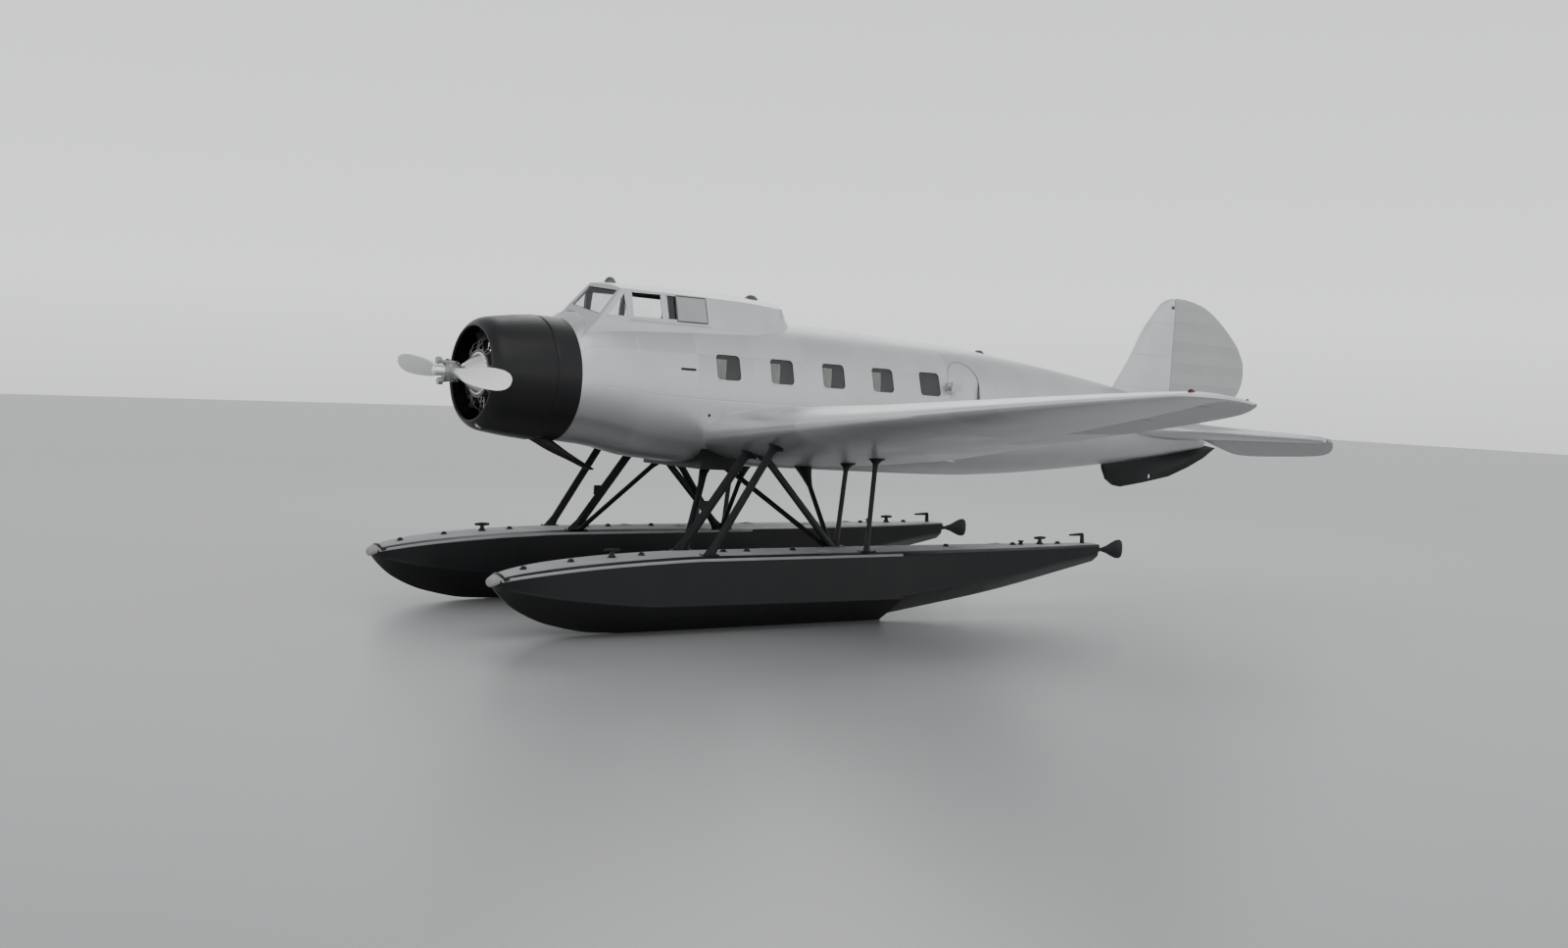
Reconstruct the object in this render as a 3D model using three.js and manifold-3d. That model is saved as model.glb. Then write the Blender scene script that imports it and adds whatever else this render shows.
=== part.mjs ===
// A 1930s single-engine low-wing airliner standing on its two floats.
// Millimetres, +X aft, +Y starboard, +Z up, floor at z = 0 under the float keels.
// The airframe is drawn about its own datum, the centre of the cowl opening on the
// thrust line, and its group is pitched nose up over the level floats.
import * as THREE from 'three';
import { mergeVertices } from 'three/addons/utils/BufferGeometryUtils.js';
import Module from 'manifold-3d';

const wasm = await Module();
wasm.setup();

const DEG = Math.PI / 180;
const GAP = 0.3;            // between faces that meet
const RUN = 6;              // round a piece that moves
const SIDES = [{ name: 'port', sign: -1 }, { name: 'starboard', sign: 1 }];

// Driving dimensions
const PITCH = 1.8 * DEG;            // airframe nose up over the float decks
const FLOAT_DEPTH = 850;            // deck to keel amidships
const DATUM_HEIGHT = FLOAT_DEPTH + 1897;
const DATUM_X = -6127;              // puts the frame's origin under the middle of the length
const FLOAT_TRACK = 1575;           // half the distance between the two keels
const STEP_X = 4700;                // float step, aft of the cowl opening

const FUSELAGE_FRONT = 1025.3;
const COWL_BREAK_X = 710;

// Finishes
const FINISH = {
  silver: { color: 0xb9bcbd, roughness: 0.38, metalness: 0.75 },
  doped: { color: 0xc4c6c6, roughness: 0.55, metalness: 0.3 },
  black: { color: 0x0e1011, roughness: 0.25, metalness: 0.2 },
  floatBlack: { color: 0x15181a, roughness: 0.5, metalness: 0.2 },
  bright: { color: 0xd4d6d8, roughness: 0.22, metalness: 0.95 },
  engineGrey: { color: 0x2c2e30, roughness: 0.6, metalness: 0.6 },
  burnt: { color: 0x2a2522, roughness: 0.75, metalness: 0.5 },
  glass: { color: 0xbfd0d4, roughness: 0.05, metalness: 0 },
  leather: { color: 0x3b2a20, roughness: 0.7, metalness: 0 },
  panel: { color: 0x17181a, roughness: 0.6, metalness: 0.1 },
  bumper: { color: 0x9a9ea0, roughness: 0.4, metalness: 0.6 },
};

// Solids: closed meshes joined and cut exactly
function solidOf(geometry) {
  const plain = geometry.clone();
  for (const name of ['normal', 'uv']) plain.deleteAttribute(name);
  const merged = mergeVertices(plain, 0.002);
  const corners = merged.index.array;
  const triangles = [];
  for (let i = 0; i < corners.length; i += 3) {
    const [a, b, c] = [corners[i], corners[i + 1], corners[i + 2]];
    if (a !== b && b !== c && c !== a) triangles.push(a, b, c);
  }
  const solid = new wasm.Manifold(new wasm.Mesh({
    numProp: 3,
    vertProperties: new Float32Array(merged.attributes.position.array),
    triVerts: new Uint32Array(triangles),
  }));
  return solid;
}

function geometryOf(solid) {
  const mesh = solid.getMesh();
  const geometry = new THREE.BufferGeometry();
  geometry.setAttribute('position', new THREE.BufferAttribute(new Float32Array(mesh.vertProperties), 3));
  geometry.setIndex(new THREE.BufferAttribute(new Uint32Array(mesh.triVerts), 1));
  geometry.computeVertexNormals();
  return geometry;
}

function joined(...solids) {
  return solids.reduce((sum, next) => sum.add(next));
}

function largestPiece(solid) {
  const pieces = solid.decompose();
  return pieces.reduce((best, next) => (next.volume() > best.volume() ? next : best));
}

function box(x0, x1, y0, y1, z0, z1) {
  const geometry = new THREE.BoxGeometry(x1 - x0, y1 - y0, z1 - z0);
  geometry.translate((x0 + x1) / 2, (y0 + y1) / 2, (z0 + z1) / 2);
  return solidOf(geometry);
}

// A round bar or cone between two points
function rod(from, to, radius, endRadius = radius, sides = 16) {
  const a = new THREE.Vector3(...from);
  const b = new THREE.Vector3(...to);
  const along = b.clone().sub(a);
  const geometry = new THREE.CylinderGeometry(endRadius, radius, along.length(), sides);
  const turn = new THREE.Quaternion().setFromUnitVectors(new THREE.Vector3(0, 1, 0), along.normalize());
  geometry.applyQuaternion(turn);
  geometry.translate((a.x + b.x) / 2, (a.y + b.y) / 2, (a.z + b.z) / 2);
  return solidOf(geometry);
}

// A closed ring or cap turned about the thrust line from rows of [x, radius]
function turned(rows, sides) {
  const geometry = new THREE.LatheGeometry(rows.map(([x, r]) => new THREE.Vector2(r, x)), sides);
  geometry.rotateZ(-Math.PI / 2);
  const solid = solidOf(geometry);
  if (solid.volume() > 0) return solid;
  geometry.index.array.reverse();
  return solidOf(geometry);
}

// A skin over sections with equal numbers of points, closed by a fan at each end
function loft(sections) {
  const count = sections[0].length;
  const positions = sections.flat(2);
  const index = [];
  for (let s = 0; s < sections.length - 1; s += 1) {
    for (let i = 0; i < count; i += 1) {
      const a = s * count + i;
      const b = s * count + (i + 1) % count;
      // The diagonals mirror from one half of the ring to the other
      if (i < count / 2) index.push(a, b, b + count, a, b + count, a + count);
      else index.push(a, b, a + count, b, b + count, a + count);
    }
  }
  [0, sections.length - 1].forEach((s, end) => {
    const middle = [0, 1, 2].map((k) => sections[s].reduce((sum, p) => sum + p[k], 0) / count);
    positions.push(...middle);
    const centre = positions.length / 3 - 1;
    for (let i = 0; i < count; i += 1) {
      const a = s * count + i;
      const b = s * count + (i + 1) % count;
      if (end === 0) index.push(centre, b, a);
      else index.push(centre, a, b);
    }
  });
  const geometry = new THREE.BufferGeometry();
  geometry.setAttribute('position', new THREE.BufferAttribute(new Float32Array(positions), 3));
  geometry.setIndex(index);
  const solid = solidOf(geometry);
  if (solid.volume() > 0) return solid;
  geometry.setIndex(index.reverse());
  return solidOf(geometry);
}

// A flat outline in X and Z, made thick about a middle plane in Y
function plateXZ(outline, middleY, thickness) {
  const shape = new THREE.Shape(outline.map(([x, z]) => new THREE.Vector2(x, z)));
  const geometry = new THREE.ExtrudeGeometry(shape, { depth: thickness, bevelEnabled: false });
  geometry.rotateX(Math.PI / 2);
  geometry.translate(0, middleY + thickness / 2, 0);
  return solidOf(geometry);
}

function mirrored(solid, sign) {
  return sign > 0 ? solid : solid.mirror([0, 1, 0]);
}

// Scene graph
const aircraft = new THREE.Group();
const airframe = new THREE.Group();
airframe.position.set(DATUM_X, 0, DATUM_HEIGHT);
airframe.rotation.y = PITCH;
aircraft.add(airframe);
const alighting = new THREE.Group();
aircraft.add(alighting);
airframe.updateMatrix();

function addPart(group, name, solid, finish) {
  const mesh = new THREE.Mesh(geometryOf(solid), new THREE.MeshStandardMaterial(FINISH[finish]));
  mesh.name = name;
  group.add(mesh);
  return mesh;
}

// From the airframe's own datum to the standing frame
function stood(solid) {
  return solid.transform([...airframe.matrix.elements]);
}

function stoodPoint([x, y, z]) {
  return new THREE.Vector3(x, y, z).applyMatrix4(airframe.matrix).toArray();
}

// Fuselage: rounded sections, flatter underneath where the wing passes
const FUSELAGE = [
  // x, top, bottom, half width, power of the upper curve, power of the lower curve
  [FUSELAGE_FRONT, 700, -700, 700, 2.0, 2.0],
  [1160, 800, -712, 712, 2.0, 2.05],
  [1480, 825, -740, 745, 2.1, 2.2],
  [2100, 845, -850, 785, 2.15, 2.5],
  [2900, 870, -890, 800, 2.2, 2.8],
  [4300, 885, -900, 800, 2.2, 2.8],
  [5800, 840, -900, 795, 2.2, 2.7],
  [6900, 795, -890, 770, 2.2, 2.5],
  [7800, 720, -845, 700, 2.15, 2.3],
  [8900, 600, -745, 580, 2.1, 2.1],
  [9950, 460, -625, 430, 2.05, 2.0],
  [10700, 330, -525, 310, 2.0, 2.0],
  [11400, 170, -410, 180, 2.0, 2.0],
  [11920, 10, -320, 60, 2.0, 2.0],
];
const FUSELAGE_MIDDLE = -0.06;   // widest line, as a share of the height above the bottom
const FUSELAGE_POINTS = 36;

function fuselageRing([x, top, bottom, half, upper, lower], grow) {
  const middle = (top + bottom) / 2 + (top - bottom) * FUSELAGE_MIDDLE;
  const ring = [];
  for (let i = 0; i < FUSELAGE_POINTS; i += 1) {
    const angle = (i / FUSELAGE_POINTS) * 2 * Math.PI - Math.PI / 2;
    const [c, s] = [Math.cos(angle), Math.sin(angle)];
    const power = 2 / (s >= 0 ? upper : lower);
    const height = (s >= 0 ? top - middle : middle - bottom) + grow;
    const y = Math.sign(c) * Math.abs(c) ** power * (half + grow);
    const z = middle + Math.sign(s) * Math.abs(s) ** power * height;
    ring.push([x, y, z]);
  }
  return ring;
}

function fuselageBody(grow) {
  const rings = FUSELAGE.map((row) => fuselageRing(row, grow));
  const ends = [0, rings.length - 1];
  ends.forEach((k) => rings[k].forEach((p) => { p[0] += (k === 0 ? -grow : grow); }));
  return loft(rings);
}

const fuselageOuter = fuselageBody(0);
const fuselageClear = fuselageBody(GAP);

// Cockpit well under the canopy
const WELL = { front: 1420, back: 2950, half: 490, floor: 20, over: 1000 };
const well = box(WELL.front, WELL.back, -WELL.half, WELL.half, WELL.floor, WELL.over);

// Cabin door, port side, in a shallow recess behind the last window
const DOOR = { front: 6330, back: 6870, sill: -430, spring: 350, top: 590, recess: 62, leaf: 46 };
const DOOR_SWEEP = 15;    // the rear edge swings out through an arc, so it stands further off its jamb
const DOOR_HINGE = { x: 6312, y: -829, pin: 8, barrel: 16, half: 45, heights: [-230, 250] };
const STRAP = { root: 34, tip: 150, skin: -748 };

function doorPrism(inset, rearInset = inset) {
  const [x0, x1] = [DOOR.front + inset, DOOR.back - rearInset];
  const [z0, z1] = [DOOR.sill + inset, DOOR.spring];
  const middle = (x0 + x1) / 2;
  const rise = DOOR.top - inset - z1;
  const arch = [];
  const steps = 8;
  for (let i = 0; i <= steps; i += 1) {
    const angle = (i / steps) * Math.PI;
    arch.push([middle + Math.cos(angle) * (x1 - x0) / 2, z1 + Math.sin(angle) * rise]);
  }
  return plateXZ([[x0, z0], [x1, z0], ...arch], -700, 600);
}

const doorRecess = doorPrism(0).subtract(fuselageBody(-DOOR.recess));
const doorLeaf = doorPrism(RUN, DOOR_SWEEP).intersect(fuselageOuter).subtract(fuselageBody(-DOOR.leaf));

function hingeSet(part) {
  const { x, y, pin, barrel, half, heights } = DOOR_HINGE;
  return joined(...heights.map((z) => {
    if (part === 'fixed') {
      const lugs = [-1, 1].map((end) => {
        const near = z + end * (half + GAP);
        const far = z + end * (half + 24);
        return box(x - barrel, x + barrel, y - barrel, -640, Math.min(near, far), Math.max(near, far));
      });
      return joined(...lugs, rod([x, y, z - half - 20], [x, y, z + half + 20], pin));
    }
    const strap = joined(
      box(x, x + STRAP.tip, y - 12, y + 8, z - half, z + half),
      box(x + STRAP.root, x + STRAP.tip, y, STRAP.skin, z - half, z + half),
    );
    const sleeve = rod([x, y, z - half], [x, y, z + half], barrel);
    const bore = rod([x, y, z - half - 1], [x, y, z + half + 1], pin + GAP);
    return joined(strap, sleeve).subtract(bore);
  }));
}

const doorJoined = joined(doorLeaf, hingeSet('leaf'));
const hingeFixed = hingeSet('fixed');

// Wing: one table serves the root stub and the outer panel
const WING = [
  // span station, leading edge x, trailing edge x, thickness share, droop towards the tip
  [150, 2640, 6330, 0.18, 0],
  [1000, 2650, 6200, 0.18, 0],
  [2000, 2680, 5930, 0.17, 0],
  [3100, 2730, 5630, 0.15, 0],
  [4700, 2775, 5195, 0.128, 0],
  [6000, 2870, 4860, 0.112, 0],
  [7100, 3030, 4500, 0.1, 0],
  [7550, 3130, 4200, 0.095, 0],
  [7850, 3280, 3890, 0.09, -25],
  [8010, 3430, 3680, 0.085, -55],
  [8068, 3530, 3595, 0.08, -78],
];
const WING_BREAK = 2150;
const WING_INCIDENCE = 2.8 * DEG;
const WING_CAMBER = 0.02;
const CAMBER_AT = 0.4;
const CHORD_STEPS = 10;
const DIHEDRAL = 0.103;
const FLAT_SPAN = 650;           // the centre section carries no dihedral
const TRAILING_EDGE = 8;

function wingAt(span) {
  let k = 0;
  while (k < WING.length - 2 && span > WING[k + 1][0]) k += 1;
  const t = (span - WING[k][0]) / (WING[k + 1][0] - WING[k][0]);
  const [, lead, trail, thick, droop] = WING[k].map((v, i) => v + t * (WING[k + 1][i] - v));
  return { lead, trail, thick, z: -390 + DIHEDRAL * (Math.max(span, FLAT_SPAN) - 2000) + droop };
}

// Points round an aerofoil, unit chord, from the trailing edge over the top and back below
function aerofoil(thick, camber, chord) {
  const upper = [];
  const lower = [];
  for (let i = 0; i <= CHORD_STEPS; i += 1) {
    const x = (1 - Math.cos((i / CHORD_STEPS) * Math.PI)) / 2;
    const half = 5 * thick * (0.2969 * Math.sqrt(x) - 0.126 * x - 0.3516 * x ** 2 + 0.2843 * x ** 3
      - 0.1036 * x ** 4) + (TRAILING_EDGE / 2 / chord) * x;
    const line = x < CAMBER_AT
      ? (camber / CAMBER_AT ** 2) * (2 * CAMBER_AT * x - x * x)
      : (camber / (1 - CAMBER_AT) ** 2) * (1 - 2 * CAMBER_AT + 2 * CAMBER_AT * x - x * x);
    upper.push([x, line + half]);
    if (i > 0) lower.push([x, line - half]);
  }
  return [...upper.reverse(), ...lower];
}

function wingRing(span, grow = 0) {
  const { lead, trail, thick, z } = wingAt(span);
  const chord = trail - lead;
  return aerofoil(thick, WING_CAMBER, chord).map(([u, v]) => {
    const along = u * chord + (u - 0.4) * 2 * grow;
    const up = v * chord + Math.sign(v) * grow;
    return [
      lead + along * Math.cos(WING_INCIDENCE) + up * Math.sin(WING_INCIDENCE),
      span,
      z - along * Math.sin(WING_INCIDENCE) + up * Math.cos(WING_INCIDENCE),
    ];
  });
}

function wingBody(inner, outer, grow = 0) {
  const spans = [inner, ...WING.map(([y]) => y).filter((y) => y > inner && y < outer), outer];
  return loft(spans.map((y) => wingRing(y, grow)));
}

// Fillet between the fuselage side and the wing's top, as hollow-cheeked sections along X
const FILLET = [
  // x, height on the fuselage side, reach over the wing, depth under the wing's top
  [2750, -330, 720, 160],
  [3300, -200, 960, 160],
  [4200, -150, 1080, 160],
  [5200, -200, 1120, 160],
  [6000, -300, 1080, 120],
  [6700, -420, 800, 60],
];

// Height over the chord line at a share of the chord, on the upper or the lower skin
function skinHeight(thick, chord, side, share) {
  const ring = aerofoil(thick, WING_CAMBER, chord);
  const line = side > 0 ? ring.slice(0, CHORD_STEPS + 1).reverse() : ring.slice(CHORD_STEPS);
  let k = 0;
  while (k < line.length - 2 && line[k + 1][0] < share) k += 1;
  const t = (share - line[k][0]) / (line[k + 1][0] - line[k][0]);
  return line[k][1] + t * (line[k + 1][1] - line[k][1]);
}

function wingSkinAt(x, span, side) {
  const { lead, trail, thick, z } = wingAt(span);
  const chord = trail - lead;
  const share = Math.min(Math.max((x - lead) / chord, 0.001), 0.999);
  return z + chord * (skinHeight(thick, chord, side, share) - share * Math.sin(WING_INCIDENCE));
}

function filletBody() {
  const inside = 420;
  const steps = 6;
  return loft(FILLET.map(([x, high, reach, depth]) => {
    const low = wingSkinAt(x, reach, 1) + 4;
    const top = [x, 730, high];
    const ring = [[x, inside, high], top];
    for (let i = 1; i <= steps; i += 1) {
      const t = i / steps;
      const bow = Math.sin(t * Math.PI / 2);
      ring.push([x, 730 + (reach - 730) * (1 - Math.cos(t * Math.PI / 2)), high + (low - high) * bow]);
    }
    ring.push([x, reach, low - depth * 0.3], [x, inside, low - depth]);
    return ring;
  }));
}

// Ailerons: the outer trailing edge, with a round nose in a cove, ends square to the hinge
const AILERON = { inner: 4900, outer: 7930, innerChord: 640, outerChord: 245, innerNose: 106, outerNose: 102 };
const AILERON_SIDES = 32;
const AILERON_REACH = 1400;      // of the cutting block, aft of the hinge
// Brackets from the wing stand in slots of the nose, each with a pin on the hinge line
const BRACKET = { spans: [5300, 6400, 7450], reach: 34, eye: 13, half: 15, slot: 21, slotDepth: 32, pin: 9, pinHalf: 34 };

function aileronHinge(span) {
  const t = (span - AILERON.inner) / (AILERON.outer - AILERON.inner);
  const flap = AILERON.innerChord + t * (AILERON.outerChord - AILERON.innerChord);
  const { lead, trail, thick, z } = wingAt(span);
  const chord = trail - lead;
  const share = 1 - flap / chord;
  const middle = (skinHeight(thick, chord, 1, share) + skinHeight(thick, chord, -1, share)) / 2;
  return new THREE.Vector3(
    lead + chord * (share * Math.cos(WING_INCIDENCE) + middle * Math.sin(WING_INCIDENCE)),
    span,
    z + chord * (middle * Math.cos(WING_INCIDENCE) - share * Math.sin(WING_INCIDENCE)),
  );
}

const HINGE = [aileronHinge(AILERON.inner), aileronHinge(AILERON.outer)];
const HINGE_LINE = HINGE[1].clone().sub(HINGE[0]).normalize();

const HINGE_AFT = new THREE.Vector3(1, 0, 0).addScaledVector(HINGE_LINE, -HINGE_LINE.x).normalize();
const HINGE_UP = new THREE.Vector3().crossVectors(HINGE_AFT, HINGE_LINE);

// A block square to the hinge line: its extents aft, up and along the line, from two points on it
function hingeBlock([a, b], [u0, u1], [v0, v1]) {
  const corners = [[u0, v1], [u1, v1], [u1, v0], [u0, v0]];
  return loft([a, b].map((p) => corners.map(([u, v]) => p.clone().addScaledVector(HINGE_AFT, u)
    .addScaledVector(HINGE_UP, v).toArray())));
}

// Everything behind the cove: a tapered barrel about the hinge and a block aft of it
function aileronCut(spare, ends) {
  const line = [HINGE[0].clone().addScaledVector(HINGE_LINE, ends), HINGE[1].clone().addScaledVector(HINGE_LINE, -ends)];
  const round = rod(line[0].toArray(), line[1].toArray(), AILERON.innerNose + spare, AILERON.outerNose + spare, AILERON_SIDES);
  return joined(round, hingeBlock(line, [-spare * 0.2, AILERON_REACH], [-260, 260]));
}

function bracketSet(which) {
  return joined(...BRACKET.spans.map((span) => {
    const t = (span - AILERON.inner) / (AILERON.outer - AILERON.inner);
    const middle = HINGE[0].clone().lerp(HINGE[1], t);
    const nose = AILERON.innerNose + t * (AILERON.outerNose - AILERON.innerNose);
    const along = (d) => [-1, 1].map((end) => middle.clone().addScaledVector(HINGE_LINE, end * d));
    const pin = (d, radius) => rod(...along(d).map((p) => p.toArray()), radius, radius, 16);
    if (which === 'fixed') {
      return joined(hingeBlock(along(BRACKET.half), [-nose - BRACKET.reach, BRACKET.eye], [-BRACKET.eye, BRACKET.eye]),
        pin(BRACKET.pinHalf, BRACKET.pin));
    }
    return joined(hingeBlock(along(BRACKET.slot), [-nose - BRACKET.reach, BRACKET.slotDepth], [-260, 260]),
      pin(BRACKET.pinHalf + GAP, BRACKET.pin + GAP));
  }));
}

const wingOuter = wingBody(WING_BREAK + GAP, 8068);
const aileronBody = wingOuter.intersect(aileronCut(0, RUN)).subtract(bracketSet('room'));
const panelBody = joined(wingOuter.subtract(aileronCut(RUN, 0)), bracketSet('fixed'));
const rootBody = joined(wingBody(150, WING_BREAK), filletBody().intersect(box(0, 9000, 0, WING_BREAK, -2000, 2000)))
  .subtract(fuselageClear);
const rootClear = wingBody(150, WING_BREAK, GAP);

// Cowling, firewall forward
const COWL_SIDES = 36;
const COWL_INNER = [[COWL_BREAK_X, 690], [300, 646], [140, 612], [60, 566]];
const cowlRing = turned([
  [20, 521], [0, 534], [12, 562], [60, 606], [140, 638], [300, 664], [COWL_BREAK_X, 710],
  ...COWL_INNER, [20, 521],
], COWL_SIDES);
// Room inside the cowl ring that the engine fills out to
const cowlRoom = turned([
  [1400, 0], [1400, 690 - GAP], ...COWL_INNER.map(([x, r]) => [x, r - GAP]), [-400, 566], [-400, 0],
], COWL_SIDES);
const rearCowl = turned([
  [COWL_BREAK_X + GAP, 690], [COWL_BREAK_X + GAP, 710], [FUSELAGE_FRONT - GAP, 707],
  [FUSELAGE_FRONT - GAP, 685], [COWL_BREAK_X + GAP, 690],
], COWL_SIDES);

// Engine: nine cylinders round a crankcase, with the accessory drum back to the firewall
const CYLINDERS = 9;
const ENGINE = { nose: -105, cylinderX: 330, barrel: 74, head: 92, headFrom: 470, headTo: 600, reach: 665 };
function engineBody() {
  const core = turned([
    [ENGINE.nose, 0], [ENGINE.nose, 88], [-60, 120], [60, 205], [120, 250], [210, 262], [450, 262],
    [520, 300], [FUSELAGE_FRONT - GAP, 300], [FUSELAGE_FRONT - GAP, 0],
  ], 24);
  const parts = [core];
  for (let i = 0; i < CYLINDERS; i += 1) {
    const angle = Math.PI / 2 + (i * 2 * Math.PI) / CYLINDERS;
    const out = (r, x = ENGINE.cylinderX) => [x, Math.cos(angle) * r, Math.sin(angle) * r];
    parts.push(rod(out(240), out(ENGINE.headFrom + 5), ENGINE.barrel, ENGINE.barrel, 10));
    parts.push(rod(out(ENGINE.headFrom), out(ENGINE.headTo), ENGINE.head, ENGINE.head * 0.8, 10));
    for (const side of [-1, 1]) {
      const tangent = [-Math.sin(angle) * side, Math.cos(angle) * side];
      const shift = ([x, y, z], d) => [x, y + tangent[0] * d, z + tangent[1] * d];
      parts.push(rod(shift(out(240, 215), 34), shift(out(585, 262), 60), 10, 10, 5));
      parts.push(rod(shift(out(560, 290), 50), shift(out(ENGINE.reach, 290), 46), 32, 26, 6));
    }
  }
  return joined(...parts).intersect(cowlRoom);
}

// Propeller: two paddle blades, held by a barrel, with the pitch cylinder in front
const PROP = { x: -233, tilt: 3.3 * DEG, root: 126 };
const BLADE = [
  // radius, chord, thickness, twist from the disc in degrees
  [PROP.root, 104, 104, 40], [200, 108, 96, 38], [300, 142, 74, 35], [460, 196, 50, 31], [700, 236, 34, 25],
  [950, 246, 25, 21], [1180, 232, 18, 18], [1340, 186, 13, 16], [1420, 128, 10, 15], [1460, 56, 7, 15],
];
const BLADE_POINTS = 16;
function bladeBody() {
  return loft(BLADE.map(([r, chord, thick, twist]) => {
    const turn = twist * DEG;
    const ring = [];
    for (let i = 0; i < BLADE_POINTS; i += 1) {
      const angle = (i / BLADE_POINTS) * 2 * Math.PI;
      const u = Math.cos(angle) * chord / 2;
      const v = Math.sin(angle) * thick / 2;
      ring.push([v * Math.cos(turn) - u * Math.sin(turn), r, v * Math.sin(turn) + u * Math.cos(turn)]);
    }
    return ring;
  }));
}
function hubBody() {
  const barrel = turned([[-96, 0], [-96, 92], [-60, 118], [60, 118], [92, 88], [92, 0]], 24);
  const arms = [-1, 1].map((s) => rod([0, s * 60, 0], [0, s * (PROP.root - GAP), 0], 78, 66, 20));
  const cylinder = turned([[-217, 0], [-217, 42], [-205, 56], [-90, 60], [-90, 0]], 20);
  const shaft = turned([[80, 0], [80, 62], [PROP.x * -1 + ENGINE.nose - GAP, 62], [PROP.x * -1 + ENGINE.nose - GAP, 0]], 20);
  const weights = [-1, 1].map((s) => joined(
    rod([-70, s * 20, s * 95], [-140, s * 34, s * 112], 24, 20, 12),
    rod([-175, s * 36, s * 112], [-120, s * 36, s * 112], 40, 40, 16),
  ));
  return joined(barrel, ...arms, cylinder, shaft, ...weights);
}

// Exhaust: a pipe from under the cowl that ends in a flat fishtail
const EXHAUST = [
  // x, z, half width across, half height
  [690, -600, 72, 72], [900, -700, 72, 72], [1060, -785, 82, 60], [1260, -880, 105, 38], [1540, -1008, 128, 16],
];
const EXHAUST_Y = -60;
function exhaustBody() {
  const slope = Math.atan2(EXHAUST[4][1] - EXHAUST[1][1], EXHAUST[4][0] - EXHAUST[1][0]);
  const points = 16;
  return loft(EXHAUST.map(([x, z, wide, high]) => {
    const ring = [];
    for (let i = 0; i < points; i += 1) {
      const angle = (i / points) * 2 * Math.PI;
      const up = Math.sin(angle) * high;
      ring.push([x - up * Math.sin(slope), EXHAUST_Y + Math.cos(angle) * wide, z + up * Math.cos(slope)]);
    }
    return ring;
  }));
}

// Canopy: windscreen frames, roof and the long fairing behind
const CANOPY = [
  // x, half width at the sill, half width at the roof edge, roof edge z, crown z
  [1000, 520, 430, 1010, 1090],
  [1640, 535, 445, 1085, 1160],
  [2750, 540, 440, 1080, 1168],
  [3400, 520, 400, 1068, 1155],
  [3930, 440, 330, 1035, 1128],
  [4110, 330, 220, 850, 885],
];
const CANOPY_SKIN = 26;
const SCREEN = {
  // windscreen plane, port and starboard mirrored: a vee with its post ahead
  base: [1150, 0, 830], side: [1270, 500, 700], top: [1440, 0, 1140],
};
function canopyLoft(inset) {
  return loft(CANOPY.map(([x, sill, edge, edgeZ, crown]) => {
    const half = [sill - inset, edge - inset];
    const [high, peak] = [edgeZ - inset * 0.5, crown - inset];
    const ring = [[x, half[0], 450], [x, half[0], 700], [x, half[1], high]];
    for (const share of [0.75, 0.4, 0]) {
      ring.push([x, half[1] * share, high + (peak - high) * (1 - share * share)]);
    }
    const other = ring.slice(0, -1).reverse().map(([a, y, z]) => [a, -y, z]);
    return [...ring, ...other];
  }));
}
function screenWedge(inset) {
  const across = SCREEN.side.map((v, i) => v - SCREEN.base[i]);
  const up = SCREEN.top.map((v, i) => v - SCREEN.base[i]);
  const normal = new THREE.Vector3(...up).cross(new THREE.Vector3(...across)).normalize();
  if (normal.x < 0) normal.negate();
  // X of the windscreen plane at a given half width and height
  const plane = (y, z) => SCREEN.base[0] + inset / normal.x
    - (normal.y * y + normal.z * (z - SCREEN.base[2])) / normal.x;
  return loft([300, 1400].map((z) => [
    [plane(0, z), 0, z], [plane(700, z), 700, z], [4600, 700, z], [4600, -700, z], [plane(700, z), -700, z],
  ]));
}
const canopyOuter = canopyLoft(0).intersect(screenWedge(0));
const canopyInner = canopyLoft(CANOPY_SKIN).intersect(screenWedge(CANOPY_SKIN))
  .intersect(box(900, WELL.back, -800, 800, 300, 1400));

// Window openings of the canopy, as outlines in side view
const SIDE_WINDOWS = [
  { name: 'quarter', outline: [[1390, 758], [1668, 758], [1640, 1052]] },
  { name: 'front', outline: [[1735, 762], [2140, 770], [2128, 1066], [1722, 1060]] },
  { name: 'rear', outline: [[2205, 772], [2740, 778], [2730, 1062], [2192, 1066]] },
];
function insetOutline(outline, inset) {
  const middle = [0, 1].map((k) => outline.reduce((sum, p) => sum + p[k], 0) / outline.length);
  return outline.map((p) => p.map((v, k) => {
    const d = v - middle[k];
    return v - (d / Math.hypot(p[0] - middle[0], p[1] - middle[1])) * inset;
  }));
}
function sideWindow(outline, sign, inset) {
  return plateXZ(insetOutline(outline, inset), sign * 500, 300);
}
function screenPane(sign, inset) {
  const rows = [[22, 872], [462, 768], [410, 1058], [22, 1098]];
  const outline = insetOutline(rows, inset);
  const shape = [1000, 1800].map((x) => outline.map(([y, z]) => [x, sign * y, z]));
  return loft(shape);
}
const canopyCuts = [];
for (const { sign } of SIDES) {
  canopyCuts.push(screenPane(sign, 0));
  for (const { outline } of SIDE_WINDOWS) canopyCuts.push(sideWindow(outline, sign, 0));
}
const canopyShell = canopyOuter.subtract(canopyInner);
const canopyFrame = largestPiece(canopyShell.subtract(joined(...canopyCuts)).subtract(fuselageClear));
const paneLayer = canopyLoft(9).intersect(screenWedge(9)).subtract(canopyLoft(15).intersect(screenWedge(15)));
const screenRegion = screenWedge(0).subtract(screenWedge(40));

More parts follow.
